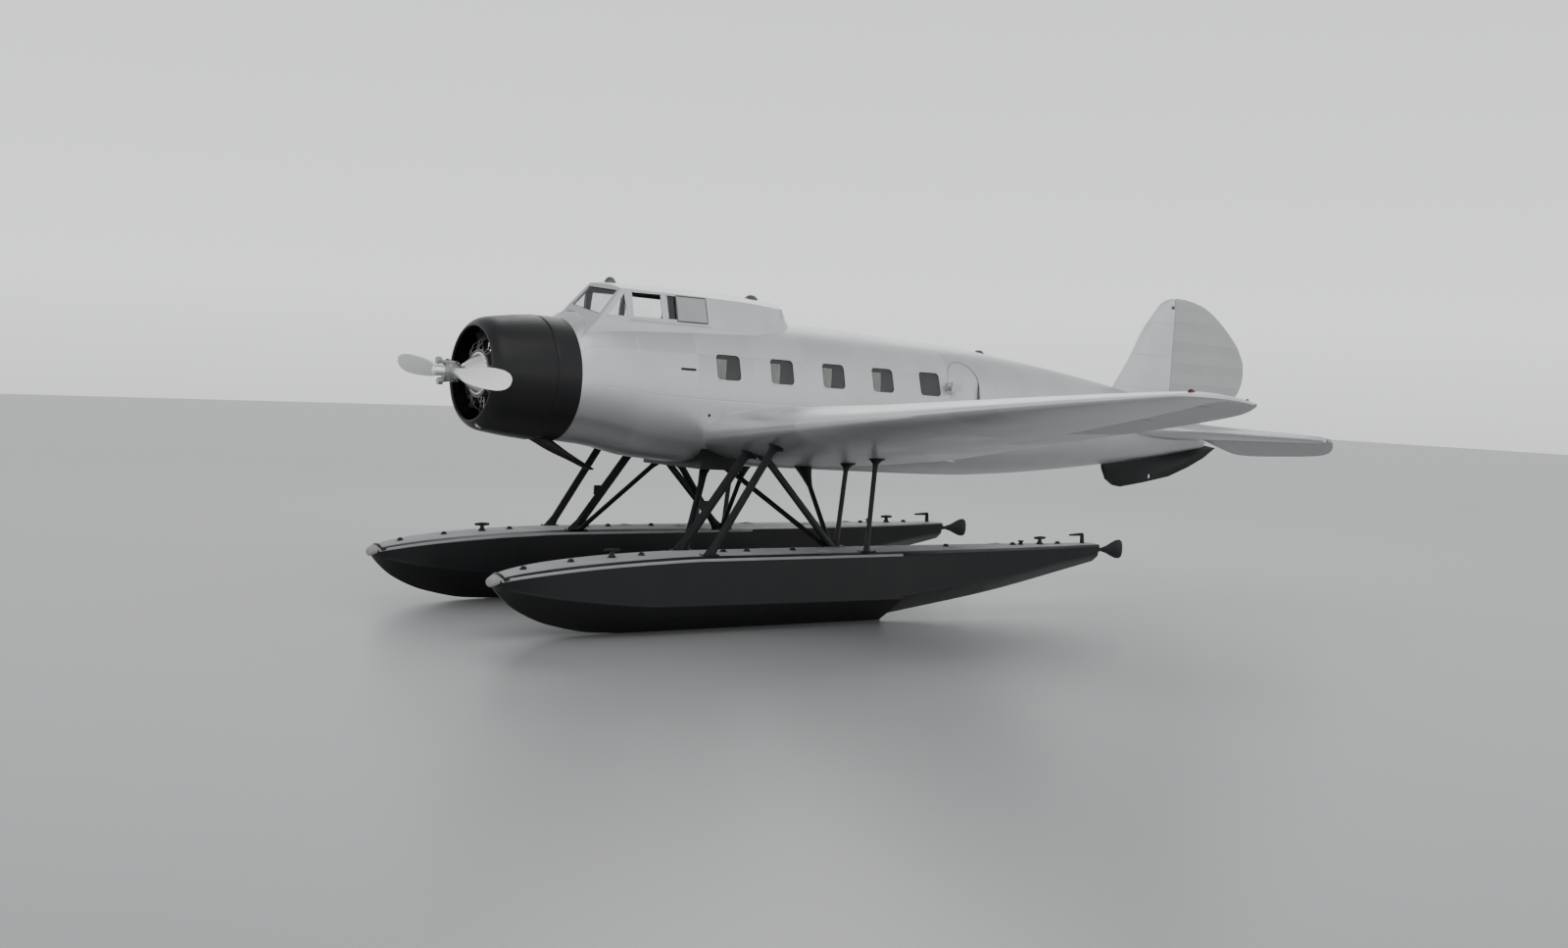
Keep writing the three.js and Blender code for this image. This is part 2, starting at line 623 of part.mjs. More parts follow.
// Cockpit fittings: two seats, the instrument board, two control columns
const SEAT = { x: 2250, y: 250, width: 400, z: 240 };
function seatBody(sign) {
  const y = sign * SEAT.y;
  const half = SEAT.width / 2;
  return joined(
    box(SEAT.x - 230, SEAT.x + 200, y - half, y + half, SEAT.z, SEAT.z + 110),
    box(SEAT.x + 130, SEAT.x + 220, y - half, y + half, SEAT.z, SEAT.z + 560),
    box(SEAT.x - 200, SEAT.x + 180, y - half + 40, y - half + 70, WELL.floor + GAP, SEAT.z + 1),
    box(SEAT.x - 200, SEAT.x + 180, y + half - 70, y + half - 40, WELL.floor + GAP, SEAT.z + 1),
  );
}
const boardBody = box(WELL.front + GAP, WELL.front + 70, -WELL.half + GAP, WELL.half - GAP, 360, 640);
function columnBody(sign) {
  const y = sign * SEAT.y;
  const wheel = new THREE.TorusGeometry(140, 14, 6, 16);
  wheel.rotateY(Math.PI / 2);
  wheel.translate(1760, y, 520);
  return joined(
    rod([1730, y, WELL.floor + GAP], [1730, y, 525], 20, 18, 10),
    rod([1720, y, 520], [1775, y, 520], 30, 30, 12),
    box(1752, 1768, y - 135, y + 135, 510, 530),
    solidOf(wheel),
  );
}

// Tail
const TAIL = { hingeX: 11560, hingeZ: -90, droop: 22 * DEG, travel: 47 };
const STABILISER = [
  // span station, leading edge x, half thickness
  [150, 9850, 150], [430, 9950, 132], [520, 10350, 118], [620, 10640, 108], [850, 10830, 96],
  [1400, 10960, 80], [2000, 11150, 64], [2370, 11270, 50], [2530, 11340, 40], [2590, 11420, 28],
];
const STABILISER_STEPS = 8;
function stabiliserBody(grow = 0) {
  const rear = TAIL.hingeX - 62;
  return loft(STABILISER.map(([y, lead, half]) => {
    const chord = rear - lead;
    const upper = [];
    for (let i = 0; i <= STABILISER_STEPS; i += 1) {
      const u = (1 - Math.cos((i / STABILISER_STEPS) * Math.PI)) / 2;
      const swell = Math.sqrt(u) * 1.75 * (1 - 0.42 * u);
      upper.push([lead + u * chord, Math.min(swell, 1) * half + grow]);
    }
    const tail = Math.min(half, 52);
    upper[upper.length - 1][1] = tail + grow;
    const ring = upper.map(([x, z]) => [x, y, TAIL.hingeZ + z]);
    const under = upper.slice(1).reverse().map(([x, z]) => [x, y, TAIL.hingeZ - z]);
    return [...ring, ...under];
  }));
}
const ELEVATOR = [
  // span station, nose radius, chord behind the hinge
  [150, 50, 420], [230, 50, 640], [330, 50, 770], [480, 50, 800], [1400, 48, 700], [2000, 46, 590],
  [2220, 44, 490], [2400, 38, 340], [2520, 30, 190], [2590, 22, 80],
];
// Round nose about the hinge, then a straight taper to the trailing edge
function flapRing(radius, chord, place) {
  const ring = [];
  const steps = 8;
  for (let i = 0; i <= steps; i += 1) {
    const angle = Math.PI / 2 + (i / steps) * Math.PI;
    ring.push(place(Math.cos(angle) * radius, Math.sin(angle) * radius));
  }
  ring.push(place(chord * 0.5, -radius * 0.62), place(chord, -5), place(chord, 5), place(chord * 0.5, radius * 0.62));
  return ring;
}
function elevatorBody() {
  const [c, s] = [Math.cos(TAIL.droop), Math.sin(TAIL.droop)];
  return loft(ELEVATOR.map(([y, radius, chord]) => flapRing(radius, chord, (u, v) => [
    TAIL.hingeX + u * c + v * s, y, TAIL.hingeZ - u * s + v * c,
  ])));
}
// Room beside the tail cone through the elevators' whole travel
function elevatorRoom() {
  const cone = fuselageBody(RUN).intersect(box(11000, 13000, -400, 400, -1000, 1000));
  return joined(...[0, 0.25, 0.5, 0.75, 1].map((share) => cone.translate([-TAIL.hingeX, 0, -TAIL.hingeZ])
    .rotate([0, TAIL.travel * share, 0]).translate([TAIL.hingeX, 0, TAIL.hingeZ])));
}
const STABILISER_LUGS = [520, 1450, 2350];
function stabiliserLugs() {
  return joined(...STABILISER_LUGS.map((y) => {
    let k = 0;
    while (y > ELEVATOR[k + 1][0]) k += 1;
    const t = (y - ELEVATOR[k][0]) / (ELEVATOR[k + 1][0] - ELEVATOR[k][0]);
    const radius = ELEVATOR[k][1] + t * (ELEVATOR[k + 1][1] - ELEVATOR[k][1]);
    return box(TAIL.hingeX - 70, TAIL.hingeX - radius - 0.6, y - 14, y + 14, TAIL.hingeZ - 12, TAIL.hingeZ + 12);
  }));
}

const FIN = { hingeX: 11150, gap: 58 };
const FIN_ROWS = [
  // height, leading edge x, half thickness
  [150, 9700, 78], [460, 9960, 72], [890, 10250, 64], [1300, 10480, 56], [1570, 10720, 46],
  [1700, 10870, 36], [1760, 10990, 26],
];
function finBody() {
  const rear = FIN.hingeX - FIN.gap;
  return loft(FIN_ROWS.map(([z, lead, half]) => {
    const chord = rear - lead;
    const side = [];
    for (let i = 0; i <= 6; i += 1) {
      const u = (1 - Math.cos((i / 6) * Math.PI)) / 2;
      side.push([lead + u * chord, Math.min(Math.sqrt(u) * 1.6, 1) * half]);
    }
    side[side.length - 1][1] = Math.min(half, 46);
    const ring = side.map(([x, y]) => [x, y, z]);
    return [...ring, ...side.slice(1).reverse().map(([x, y]) => [x, -y, z])];
  }));
}
const RUDDER = [
  // height, nose radius, chord behind the hinge
  [246, 42, 900], [330, 44, 1200], [440, 46, 1380], [560, 47, 1480], [760, 48, 1545], [930, 48, 1535],
  [1180, 47, 1400], [1410, 45, 1150], [1600, 41, 880], [1740, 34, 590], [1800, 26, 330], [1820, 20, 180],
];
function rudderBody() {
  return loft(RUDDER.map(([z, radius, chord]) => flapRing(radius, chord, (u, v) => [FIN.hingeX + u, v, z])));
}
const FIN_LUGS = [480, 1050, 1550];
function finLugs() {
  return joined(...FIN_LUGS.map((z) => {
    let k = 0;
    while (z > RUDDER[k + 1][0]) k += 1;
    const t = (z - RUDDER[k][0]) / (RUDDER[k + 1][0] - RUDDER[k][0]);
    const radius = RUDDER[k][1] + t * (RUDDER[k + 1][1] - RUDDER[k][1]);
    return box(FIN.hingeX - FIN.gap - 12, FIN.hingeX - radius - 0.6, -12, 12, z - 14, z + 14);
  }));
}

const VENTRAL = [
  [9880, -560], [9890, -690], [9980, -850], [10120, -930], [10260, -950], [10730, -870], [11230, -770],
  [11630, -620], [11950, -470], [12190, -310], [11920, -280], [11200, -350], [10600, -450],
];
const VENTRAL_HOLE = [10850, -780];
function ventralBody() {
  const hole = rod([VENTRAL_HOLE[0], -100, VENTRAL_HOLE[1]], [VENTRAL_HOLE[0], 100, VENTRAL_HOLE[1]], 27, 27, 16);
  return largestPiece(plateXZ(VENTRAL, 0, 56).subtract(fuselageClear).subtract(hole));
}

// Floats: vee bottom, flat keel strip, level forebody keel up to the step, rising afterbody
const FLOAT = [
  // x, deck half width, deck z, side half width, side top z, chine half width, chine z, keel z
  [-440, 60, 655, 90, 640, 80, 600, 570],
  [-380, 120, 690, 170, 670, 150, 560, 480],
  [-150, 200, 752, 280, 725, 270, 500, 290],
  [250, 260, 805, 360, 775, 370, 430, 120],
  [800, 300, 838, 405, 808, 425, 370, 18],
  [1300, 315, 850, 420, 820, 445, 330, 0],
  [STEP_X - 20, 315, 850, 420, 820, 445, 300, 0],
  [STEP_X, 315, 850, 420, 820, 440, 330, 62],
  [6400, 270, 850, 355, 825, 340, 500, 290],
  [7700, 170, 850, 225, 832, 190, 660, 530],
  [8172, 110, 850, 150, 838, 120, 700, 620],
];
const KEEL_STRIP = 20;
function floatBody(grow = 0) {
  return loft(FLOAT.map(([x, deck, deckZ, side, sideZ, chine, chineZ, keelZ]) => {
    const half = [
      [0, deckZ + 8 + grow], [deck, deckZ + grow], [side + grow, sideZ + grow], [chine + grow, chineZ],
      [KEEL_STRIP, keelZ - grow], [0, keelZ - grow],
    ];
    const other = half.slice(1, -1).reverse().map(([y, z]) => [-y, z]);
    return [...half, ...other].map(([y, z]) => [x, y, z]);
  })).translate([DATUM_X, FLOAT_TRACK, 0]);
}
// Rubber-faced cap over the bow
const bumper = loft([[-486, 60, 44], [-470, 84, 62], [-380, 150, 76]].map(([x, wide, high]) => Array
  .from({ length: 16 }, (_, i) => (i / 16) * 2 * Math.PI)
  .map((angle) => [x, Math.cos(angle) * wide, 628 + (x + 486) * 0.35 + Math.sin(angle) * high])))
  .translate([DATUM_X, FLOAT_TRACK, 0]);

// Plate under the belly that takes the inner struts
const BELLY = { front: 2700, back: 3300, half: 650, bottom: -935, top: -700 };
function bellyFitting(grow = 0) {
  const { front, back, half, bottom, top } = BELLY;
  return largestPiece(box(front - grow, back + grow, -half - grow, half + grow, bottom - grow, top)
    .subtract(fuselageClear).subtract(rootClear).subtract(mirrored(rootClear, -1)));
}

// Struts between floats and airframe, mirrored to both sides. Each swells into the wing's
// skin through a flared cuff: its length, its growth along and across, and how late it flares.
const FOOT = { front: 2052, rear: 4245, in: 1227, out: 1850, z: 840 };
const CUFF = {
  front: [110, 2.5, 2.6, 3], rear: [110, 3.9, 3.3, 3], root: [290, 3.7, 2.6, 1.3],
  drag: [120, 1.7, 2, 2], belly: [90, 1.4, 1.6, 2],
};
const CUFF_RINGS = [0, 0.45, 0.77, 1];
const CUFF_INSIDE = 70;
const STRUTS = [
  // name, foot [x, y] on the deck, top [x, y], what it meets, chord, thickness, cuff
  ['front_outboard_strut', [FOOT.front, FOOT.out], [2900, FOOT.out], 'wing', 104, 40, CUFF.front],
  ['front_inboard_strut', [FOOT.front, FOOT.in], [2960, FOOT.in], 'wing', 116, 44, CUFF.front],
  ['front_belly_strut', [FOOT.front + 70, FOOT.in], [2820, 560], 'belly', 84, 34, CUFF.belly],
  ['rear_inboard_strut', [FOOT.rear + 20, FOOT.in], [4400, FOOT.in], 'wing', 72, 34, CUFF.rear],
  ['rear_outboard_strut', [FOOT.rear, FOOT.out], [4350, FOOT.out], 'wing', 72, 34, CUFF.rear],
  ['rear_root_strut', [FOOT.rear - 30, FOOT.in - 40], [4210, 600], 'wing', 74, 34, CUFF.root],
  ['drag_strut', [FOOT.rear - 40, FOOT.in], [3190, FOOT.in], 'wing', 92, 38, CUFF.drag],
  ['rear_belly_strut', [FOOT.rear - 100, FOOT.in - 30], [3180, 560], 'belly', 84, 34, CUFF.belly],
];
const STEP_PLATE = { strut: 'front_inboard_strut', share: 0.5, reach: 175, drop: 115, thickness: 10 };

function strutBody([name, foot, [topX, topY], meets, chord, thick, cuff], grow) {
  const a = new THREE.Vector3(foot[0] + DATUM_X, foot[1], FOOT.z);
  const topZ = meets === 'wing' ? wingSkinAt(topX, topY, -1) : BELLY.bottom;
  const b = new THREE.Vector3(...stoodPoint([topX, topY, topZ]));
  const along = b.clone().sub(a).normalize();
  const fore = new THREE.Vector3(1, 0, 0).addScaledVector(along, -along.x).normalize();
  const across = new THREE.Vector3().crossVectors(along, fore);
  const outline = [];
  for (let i = 0; i < 10; i += 1) {
    const angle = (i / 10) * 2 * Math.PI;
    outline.push([Math.cos(angle) * (chord / 2), Math.sin(angle) * (thick / 2) * (1 - 0.25 * Math.cos(angle))]);
  }
  const length = b.distanceTo(a);
  const ringAt = (d, scale) => outline.map(([u, v]) => a.clone().addScaledVector(along, d)
    .addScaledVector(fore, u * scale[0] + Math.sign(u) * grow)
    .addScaledVector(across, v * scale[1] + Math.sign(v) * grow).toArray());
  const [cuffLength, wider, thicker, lateness] = cuff;
  const flare = CUFF_RINGS.map((t) => ringAt(length - cuffLength * (1 - t), [
    1 + (wider - 1) * t ** lateness, 1 + (thicker - 1) * t ** lateness,
  ]));
  const leg = loft([ringAt(-20, [1.5, 1.9]), ringAt(130, [1, 1]), ...flare, ringAt(length + CUFF_INSIDE, [wider, thicker])]);
  if (name !== STEP_PLATE.strut) return leg;
  const { x, z } = a.clone().addScaledVector(along, length * STEP_PLATE.share);
  const lean = (along.x / along.z) * STEP_PLATE.drop;
  return joined(leg, plateXZ([
    [x - 30, z], [x - STEP_PLATE.reach, z], [x - STEP_PLATE.reach / 2 - lean, z - STEP_PLATE.drop], [x - lean, z - STEP_PLATE.drop],
  ], foot[1], STEP_PLATE.thickness));
}

// Put together
const fuselageBodyCut = joined(
  largestPiece(fuselageOuter.subtract(well).subtract(doorRecess)),
  hingeFixed.subtract(fuselageBody(-3)),
);
addPart(airframe, 'fuselage', fuselageBodyCut, 'silver');
addPart(airframe, 'cowl_ring', cowlRing, 'black');
addPart(airframe, 'rear_cowl', rearCowl, 'black');
addPart(airframe, 'engine', engineBody(), 'engineGrey');
addPart(airframe, 'exhaust', exhaustBody().subtract(fuselageClear)
  .subtract(turned([[600, 0], [600, 711], [COWL_BREAK_X, 711], [FUSELAGE_FRONT, 708], [FUSELAGE_FRONT, 0]],
    COWL_SIDES)), 'burnt');
addPart(airframe, 'cabin_door', largestPiece(doorJoined), 'silver');

const propeller = new THREE.Group();
propeller.position.x = PROP.x;
propeller.rotation.x = PROP.tilt;
airframe.add(propeller);
addPart(propeller, 'propeller_hub', hubBody(), 'bright');
SIDES.forEach(({ sign }, i) => {
  const blade = addPart(propeller, `propeller_blade_${i + 1}`, bladeBody(), 'bright');
  blade.rotation.x = sign > 0 ? 0 : Math.PI;
});

addPart(airframe, 'canopy_frame', canopyFrame, 'silver');
for (const { name, sign } of SIDES) {
  const screen = paneLayer.intersect(screenPane(sign, GAP)).intersect(screenRegion).subtract(fuselageClear);
  addPart(airframe, `${name}_windscreen_pane`, largestPiece(screen), 'glass');
  // The port front pane is slid back over the rear one, so that opening is bare
  for (const { name: which, outline } of SIDE_WINDOWS.filter((row) => sign > 0 || row.name !== 'front')) {
    const pane = paneLayer.intersect(sideWindow(outline, sign, GAP)).subtract(screenRegion).subtract(fuselageClear);
    addPart(airframe, `${name}_${which}_pane`, largestPiece(pane), 'glass');
  }
  addPart(airframe, `${name}_seat`, seatBody(sign), 'leather');
}
addPart(airframe, 'instrument_board', boardBody, 'panel');
const crossTube = rod([1730, -SEAT.y, WELL.floor + 40], [1730, SEAT.y, WELL.floor + 40], 14, 14, 10);
addPart(airframe, 'control_columns', joined(columnBody(-1), columnBody(1), crossTube), 'panel');
addPart(airframe, 'belly_fitting', bellyFitting(), 'floatBlack');

for (const { name, sign } of SIDES) {
  addPart(airframe, `${name}_wing_root`, mirrored(rootBody, sign), 'silver');
  addPart(airframe, `${name}_wing_panel`, mirrored(panelBody, sign), 'silver');
  addPart(airframe, `${name}_aileron`, mirrored(aileronBody, sign), 'doped');
  const stabiliser = joined(largestPiece(stabiliserBody().subtract(fuselageClear)), stabiliserLugs());
  addPart(airframe, `${name}_stabiliser`, mirrored(stabiliser, sign), 'silver');
  const elevator = largestPiece(elevatorBody().subtract(elevatorRoom()));
  addPart(airframe, `${name}_elevator`, mirrored(elevator, sign), 'doped');
}
addPart(airframe, 'fin', joined(largestPiece(finBody().subtract(fuselageClear)), finLugs()), 'silver');
addPart(airframe, 'rudder', rudderBody(), 'doped');
addPart(airframe, 'ventral_fin', ventralBody(), 'floatBlack');

const hullClear = floatBody(GAP);
const wingStood = stood(rootClear);
const bodyStood = stood(fuselageClear);
const padClear = stood(box(BELLY.front - GAP, BELLY.back + GAP, -BELLY.half - GAP, BELLY.half + GAP,
  BELLY.bottom - GAP, BELLY.top));
const strutSolids = STRUTS.map((row, k) => {
  let solid = strutBody(row, 0).subtract(hullClear).subtract(wingStood).subtract(bodyStood).subtract(padClear);
  STRUTS.slice(0, k).forEach((earlier) => { solid = solid.subtract(strutBody(earlier, GAP)); });
  return largestPiece(solid);
});

// Water rudders, swung up behind each stern
const STERN = { x: 8172 + DATUM_X, pinX: 8215 + DATUM_X, liftX: 8292 + DATUM_X, z: 768 };
function rudderBracket() {
  const { x, pinX, z } = STERN;
  return joined(
    box(x - 6, pinX + 26, -24, 24, z + 50.3, z + 62),
    box(x - 6, pinX + 26, -24, 24, z - 62, z - 50.3),
    rod([pinX, 0, z - 60], [pinX, 0, z + 60], 9, 9, 16),
  );
}
function rudderHead() {
  const { pinX, liftX, z } = STERN;
  const block = box(pinX - 20, liftX - 30, -20, 20, z - 50, z + 50);
  const cheeks = [-1, 1].map((s) => box(liftX - 40, liftX + 22, Math.min(s * 8.3, s * 20), Math.max(s * 8.3, s * 20), z - 26, z + 26));
  const pin = rod([liftX, -19, z], [liftX, 19, z], 7, 7, 16);
  return joined(block, ...cheeks, pin).subtract(rod([pinX, 0, z - 51], [pinX, 0, z + 51], 9.3, 9.3, 16));
}
function waterRudder() {
  const { liftX, z } = STERN;
  const outline = [
    [-18, -14], [-8, -21], [36, -22], [146, -42], [284, -74], [370, -76], [408, -50], [420, 0],
    [408, 50], [370, 78], [284, 72], [146, 36], [36, 20], [-8, 21], [-18, 14],
  ].map(([u, v]) => [liftX + u, z + v]);
  return plateXZ(outline, 0, 16).subtract(rod([liftX, -30, z], [liftX, 30, z], 7.3, 7.3, 16));
}

// Deck fittings: tee cleats fore and aft and the lift horn by the stern
const CLEATS = [{ x: 980, z: 840 }, { x: 7250, z: 848 }];
const TEE = { height: 86, half: 95, radius: 15, foot: 30, neck: 17 };
function deckFittings() {
  const parts = CLEATS.map(({ x, z }) => joined(
    rod([x, 0, z], [x, 0, z + TEE.height], TEE.foot, TEE.neck, 12),
    rod([x - TEE.half, 0, z + TEE.height], [x + TEE.half, 0, z + TEE.height], TEE.radius, TEE.radius, 12),
  ));
  const horn = joined(
    rod([7996, 0, 845], [7990, 0, 988], 24, 17, 10),
    rod([7994, 0, 976], [7765, 0, 966], 16, 11, 10),
  );
  return joined(...parts, horn).translate([DATUM_X, FLOAT_TRACK, 0]);
}
const hull = joined(floatBody(), deckFittings(), rudderBracket().translate([0, FLOAT_TRACK, 0]));

for (const { name, sign } of SIDES) {
  addPart(alighting, `${name}_float`, mirrored(hull, sign), 'floatBlack');
  addPart(alighting, `${name}_float_bumper`, mirrored(largestPiece(bumper.subtract(hullClear)), sign), 'bumper');
  const shift = [0, sign * FLOAT_TRACK, 0];
  addPart(alighting, `${name}_rudder_head`, rudderHead().translate(shift), 'floatBlack');
  addPart(alighting, `${name}_water_rudder`, waterRudder().translate(shift), 'floatBlack');
  STRUTS.forEach(([strut], k) => addPart(alighting, `${name}_${strut}`, mirrored(strutSolids[k], sign), 'floatBlack'));
}

export default aircraft;
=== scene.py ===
"""Looks of a 1930s single-engine low-wing airliner on two floats.

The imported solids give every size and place. Metres, +X aft, +Y starboard, +Z up, the
float keels on the floor at z = 0. The airframe is drawn about its own datum, the centre
of the cowl opening, and then set on the floats.
"""
import math
import random

import bmesh
import bpy
from mathutils import Matrix, Vector


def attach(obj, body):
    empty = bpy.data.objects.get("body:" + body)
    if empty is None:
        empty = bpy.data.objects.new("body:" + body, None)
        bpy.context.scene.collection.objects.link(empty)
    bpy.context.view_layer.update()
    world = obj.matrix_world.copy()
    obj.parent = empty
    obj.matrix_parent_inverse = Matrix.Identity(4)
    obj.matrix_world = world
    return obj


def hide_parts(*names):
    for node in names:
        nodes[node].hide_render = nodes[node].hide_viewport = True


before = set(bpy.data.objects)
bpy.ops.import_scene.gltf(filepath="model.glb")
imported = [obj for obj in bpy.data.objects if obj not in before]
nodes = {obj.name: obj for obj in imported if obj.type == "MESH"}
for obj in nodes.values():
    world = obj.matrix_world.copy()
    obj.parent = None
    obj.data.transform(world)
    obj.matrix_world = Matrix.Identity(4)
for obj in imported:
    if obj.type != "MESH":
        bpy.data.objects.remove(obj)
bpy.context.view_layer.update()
random.seed(1934)

# Camera: the photograph's own, solved against the known span and length. It stands off
# the port bow, a little above the float decks, and looks aft across the aircraft.
PHOTO_WIDTH, PHOTO_HEIGHT = 1600, 967
FOCAL_PIXELS = 1907.67
AXIS_PIXEL = (803.9, 486.0)
EYE = Vector((-9.185, -19.024, -0.162))
YAW, TILT, ROLL = 0.621, -0.036, 0.068
SENSOR_WIDTH, FARTHEST = 36, 400

# Where the floats hold the airframe's datum, and how far they hold its nose up
DATUM, PITCH = (-6.127, 0, 2.747), math.radians(1.8)
AIRFRAME = Matrix.Translation(DATUM) @ Matrix.Rotation(PITCH, 4, "Y")


def put(name, data):
    """A new object in the scene."""
    made = bpy.data.objects.new(name, data)
    bpy.context.scene.collection.objects.link(made)
    return made


ahead = Vector((math.sin(YAW) * math.cos(TILT), math.cos(YAW) * math.cos(TILT), math.sin(TILT)))
level = Vector((math.cos(YAW), -math.sin(YAW), 0))
upright = level.cross(ahead)
right = level * math.cos(ROLL) + upright * math.sin(ROLL)
top = upright * math.cos(ROLL) - level * math.sin(ROLL)
turn = AIRFRAME.to_3x3()
camera_data = bpy.data.cameras.new("camera")
camera_data.sensor_width = SENSOR_WIDTH
camera_data.lens = SENSOR_WIDTH * FOCAL_PIXELS / PHOTO_WIDTH
camera_data.shift_x = (PHOTO_WIDTH / 2 - AXIS_PIXEL[0]) / PHOTO_WIDTH
camera_data.shift_y = (AXIS_PIXEL[1] - PHOTO_HEIGHT / 2) / PHOTO_WIDTH
camera_data.clip_end = FARTHEST
camera = put("camera", camera_data)
aim = Matrix((turn @ right, turn @ top, -(turn @ ahead))).transposed()
camera.matrix_world = Matrix.Translation(AIRFRAME @ EYE) @ aim.to_4x4()
bpy.context.scene.camera = camera

# Studio: a pale floor that runs out of sight, a soft sky that is brightest low down, and two
# broad soft lights overhead.
SKY_STRENGTH = 1.0
SKY_TINT = (0.985, 1.0, 1.015)
SKY_BANDS = [
    # share of the way from straight down to straight up, brightness
    (0.0, 0.30), (0.482, 1.00), (0.518, 1.32), (0.60, 1.15), (0.78, 0.86), (1.0, 0.48),
]
SOFT_LIGHTS = [
    # place, size, watts, what it is aimed at
    ((-6, -9, 16), 12, 480, (0, 0, 2)),
    ((8, 12, 15), 14, 760, (0, 0, 3)),
]
FLOOR_HALF = 90


def finish(name):
    """A new node material and its shader."""
    made = bpy.data.materials.new(name)
    made.use_nodes = True
    shader = made.node_tree.nodes["Principled BSDF"]
    return made, shader


def node(made, kind, inputs=(), **settings):
    """One node of a material, with its inputs set to values or linked to other nodes' sockets."""
    tree = made.node_tree
    new = tree.nodes.new(kind)
    for key, value in settings.items():
        setattr(new, key, value)
    for slot, value in dict(inputs).items():
        if isinstance(value, bpy.types.NodeSocket):
            tree.links.new(value, new.inputs[slot])
        else:
            new.inputs[slot].default_value = value
    return new


def math_node(made, operation, a, b=0.0):
    return node(made, "ShaderNodeMath", {0: a, 1: b}, operation=operation).outputs[0]


def ramp(made, value, low, high, out_low=0.0, out_high=1.0):
    """Value from low to high, as out_low to out_high, and held beyond."""
    return node(made, "ShaderNodeMapRange", {
        "Value": value, "From Min": low, "From Max": high, "To Min": out_low, "To Max": out_high,
    }).outputs[0]


def mottle(made, scale, detail=3.0, stretch=(1, 1, 1)):
    """Soft noise over the object's own coordinates."""
    place = node(made, "ShaderNodeTexCoord").outputs["Object"]
    sized = node(made, "ShaderNodeMapping", {"Vector": place, "Scale": stretch}).outputs[0]
    return node(made, "ShaderNodeTexNoise", {"Vector": sized, "Scale": scale, "Detail": detail}).outputs[0]


def tint(made, shader, colour, factor, low, high):
    """The base colour made lighter and darker by a factor from 0 to 1."""
    share = ramp(made, factor, 0.0, 1.0, low, high)
    mixed = node(made, "ShaderNodeVectorMath", {0: colour[:3], "Scale": share}, operation="SCALE")
    made.node_tree.links.new(mixed.outputs[0], shader.inputs["Base Color"])


def relief(made, shader, height, depth):
    bump = node(made, "ShaderNodeBump", {"Height": height, "Strength": 1.0, "Distance": depth})
    made.node_tree.links.new(bump.outputs[0], shader.inputs["Normal"])


def coat(name, colour, noise, low, high, rough, metal=0.0, grain=None):
    """A finish whose tone wavers from low to high with soft noise. grain adds bumps: noise, depth."""
    made, shader = finish(name)
    tint(made, shader, colour, mottle(made, *noise), low, high)
    if grain:
        relief(made, shader, mottle(made, *grain[0]), grain[1])
    shader.inputs["Metallic"].default_value = metal
    shader.inputs["Roughness"].default_value = rough
    return made, shader


floor_finish, shader = coat("floor_pale", (0.36, 0.362, 0.365), (0.35,), 0.97, 1.03, 0.34)
shader.inputs["IOR"].default_value = 1.85
floor_mesh = bpy.data.meshes.new("floor")
floor_mesh.from_pydata([(x, y, 0) for x in (-FLOOR_HALF, FLOOR_HALF) for y in (-FLOOR_HALF, FLOOR_HALF)],
                       [], [(0, 2, 3, 1)])
floor_mesh.materials.append(floor_finish)
floor = put("floor", floor_mesh)

world = bpy.data.worlds.new("sky")
world.use_nodes = True
sky = world.node_tree.nodes
up = sky.new("ShaderNodeTexCoord")
height = sky.new("ShaderNodeSeparateXYZ")
share = sky.new("ShaderNodeMapRange")
share.inputs["From Min"].default_value = -1.0
bands = sky.new("ShaderNodeValToRGB")
while len(bands.color_ramp.elements) < len(SKY_BANDS):
    bands.color_ramp.elements.new(0.5)
for stop, (place, tone) in zip(bands.color_ramp.elements, SKY_BANDS):
    stop.position = place
    stop.color = (*(tone * share for share in SKY_TINT), 1)
for a, b in ((up.outputs["Generated"], height.inputs[0]), (height.outputs[2], share.inputs[0]),
             (share.outputs[0], bands.inputs[0]), (bands.outputs[0], sky["Background"].inputs["Color"])):
    world.node_tree.links.new(a, b)
sky["Background"].inputs["Strength"].default_value = SKY_STRENGTH
bpy.context.scene.world = world
for index, (place, size, watts, target) in enumerate(SOFT_LIGHTS):
    light = bpy.data.lights.new(f"soft_light_{index}", "AREA")
    light.size, light.energy = size, watts
    lamp = put(f"soft_light_{index}", light)
    lamp.location = place
    lamp.rotation_euler = (Vector(target) - Vector(place)).to_track_quat("-Z", "Y").to_euler()

# Fuselage: aluminium sheet on stringers, lap seams with two rows of rivets, drawn over
# round sections. It is skinned again here on the solid's own sections, finer and smooth.
FUSELAGE = [
    # x, top, bottom, half width, power of the upper curve, power of the lower curve
    (1.0253, 0.700, -0.700, 0.700, 2.0, 2.0),
    (1.160, 0.800, -0.712, 0.712, 2.0, 2.05),
    (1.480, 0.825, -0.740, 0.745, 2.1, 2.2),
    (2.100, 0.845, -0.850, 0.785, 2.15, 2.5),
    (2.900, 0.870, -0.890, 0.800, 2.2, 2.8),
    (4.300, 0.885, -0.900, 0.800, 2.2, 2.8),
    (5.800, 0.840, -0.900, 0.795, 2.2, 2.7),
    (6.900, 0.795, -0.890, 0.770, 2.2, 2.5),
    (7.800, 0.720, -0.845, 0.700, 2.15, 2.3),
    (8.900, 0.600, -0.745, 0.580, 2.1, 2.1),
    (9.950, 0.460, -0.625, 0.430, 2.05, 2.0),
    (10.700, 0.330, -0.525, 0.310, 2.0, 2.0),
    (11.400, 0.170, -0.410, 0.180, 2.0, 2.0),
    (11.920, 0.010, -0.320, 0.060, 2.0, 2.0),
]
WIDEST = -0.06               # of the height, above or below the middle
GIRTH = 5.2                  # round the cabin, for the spacing of the long seams
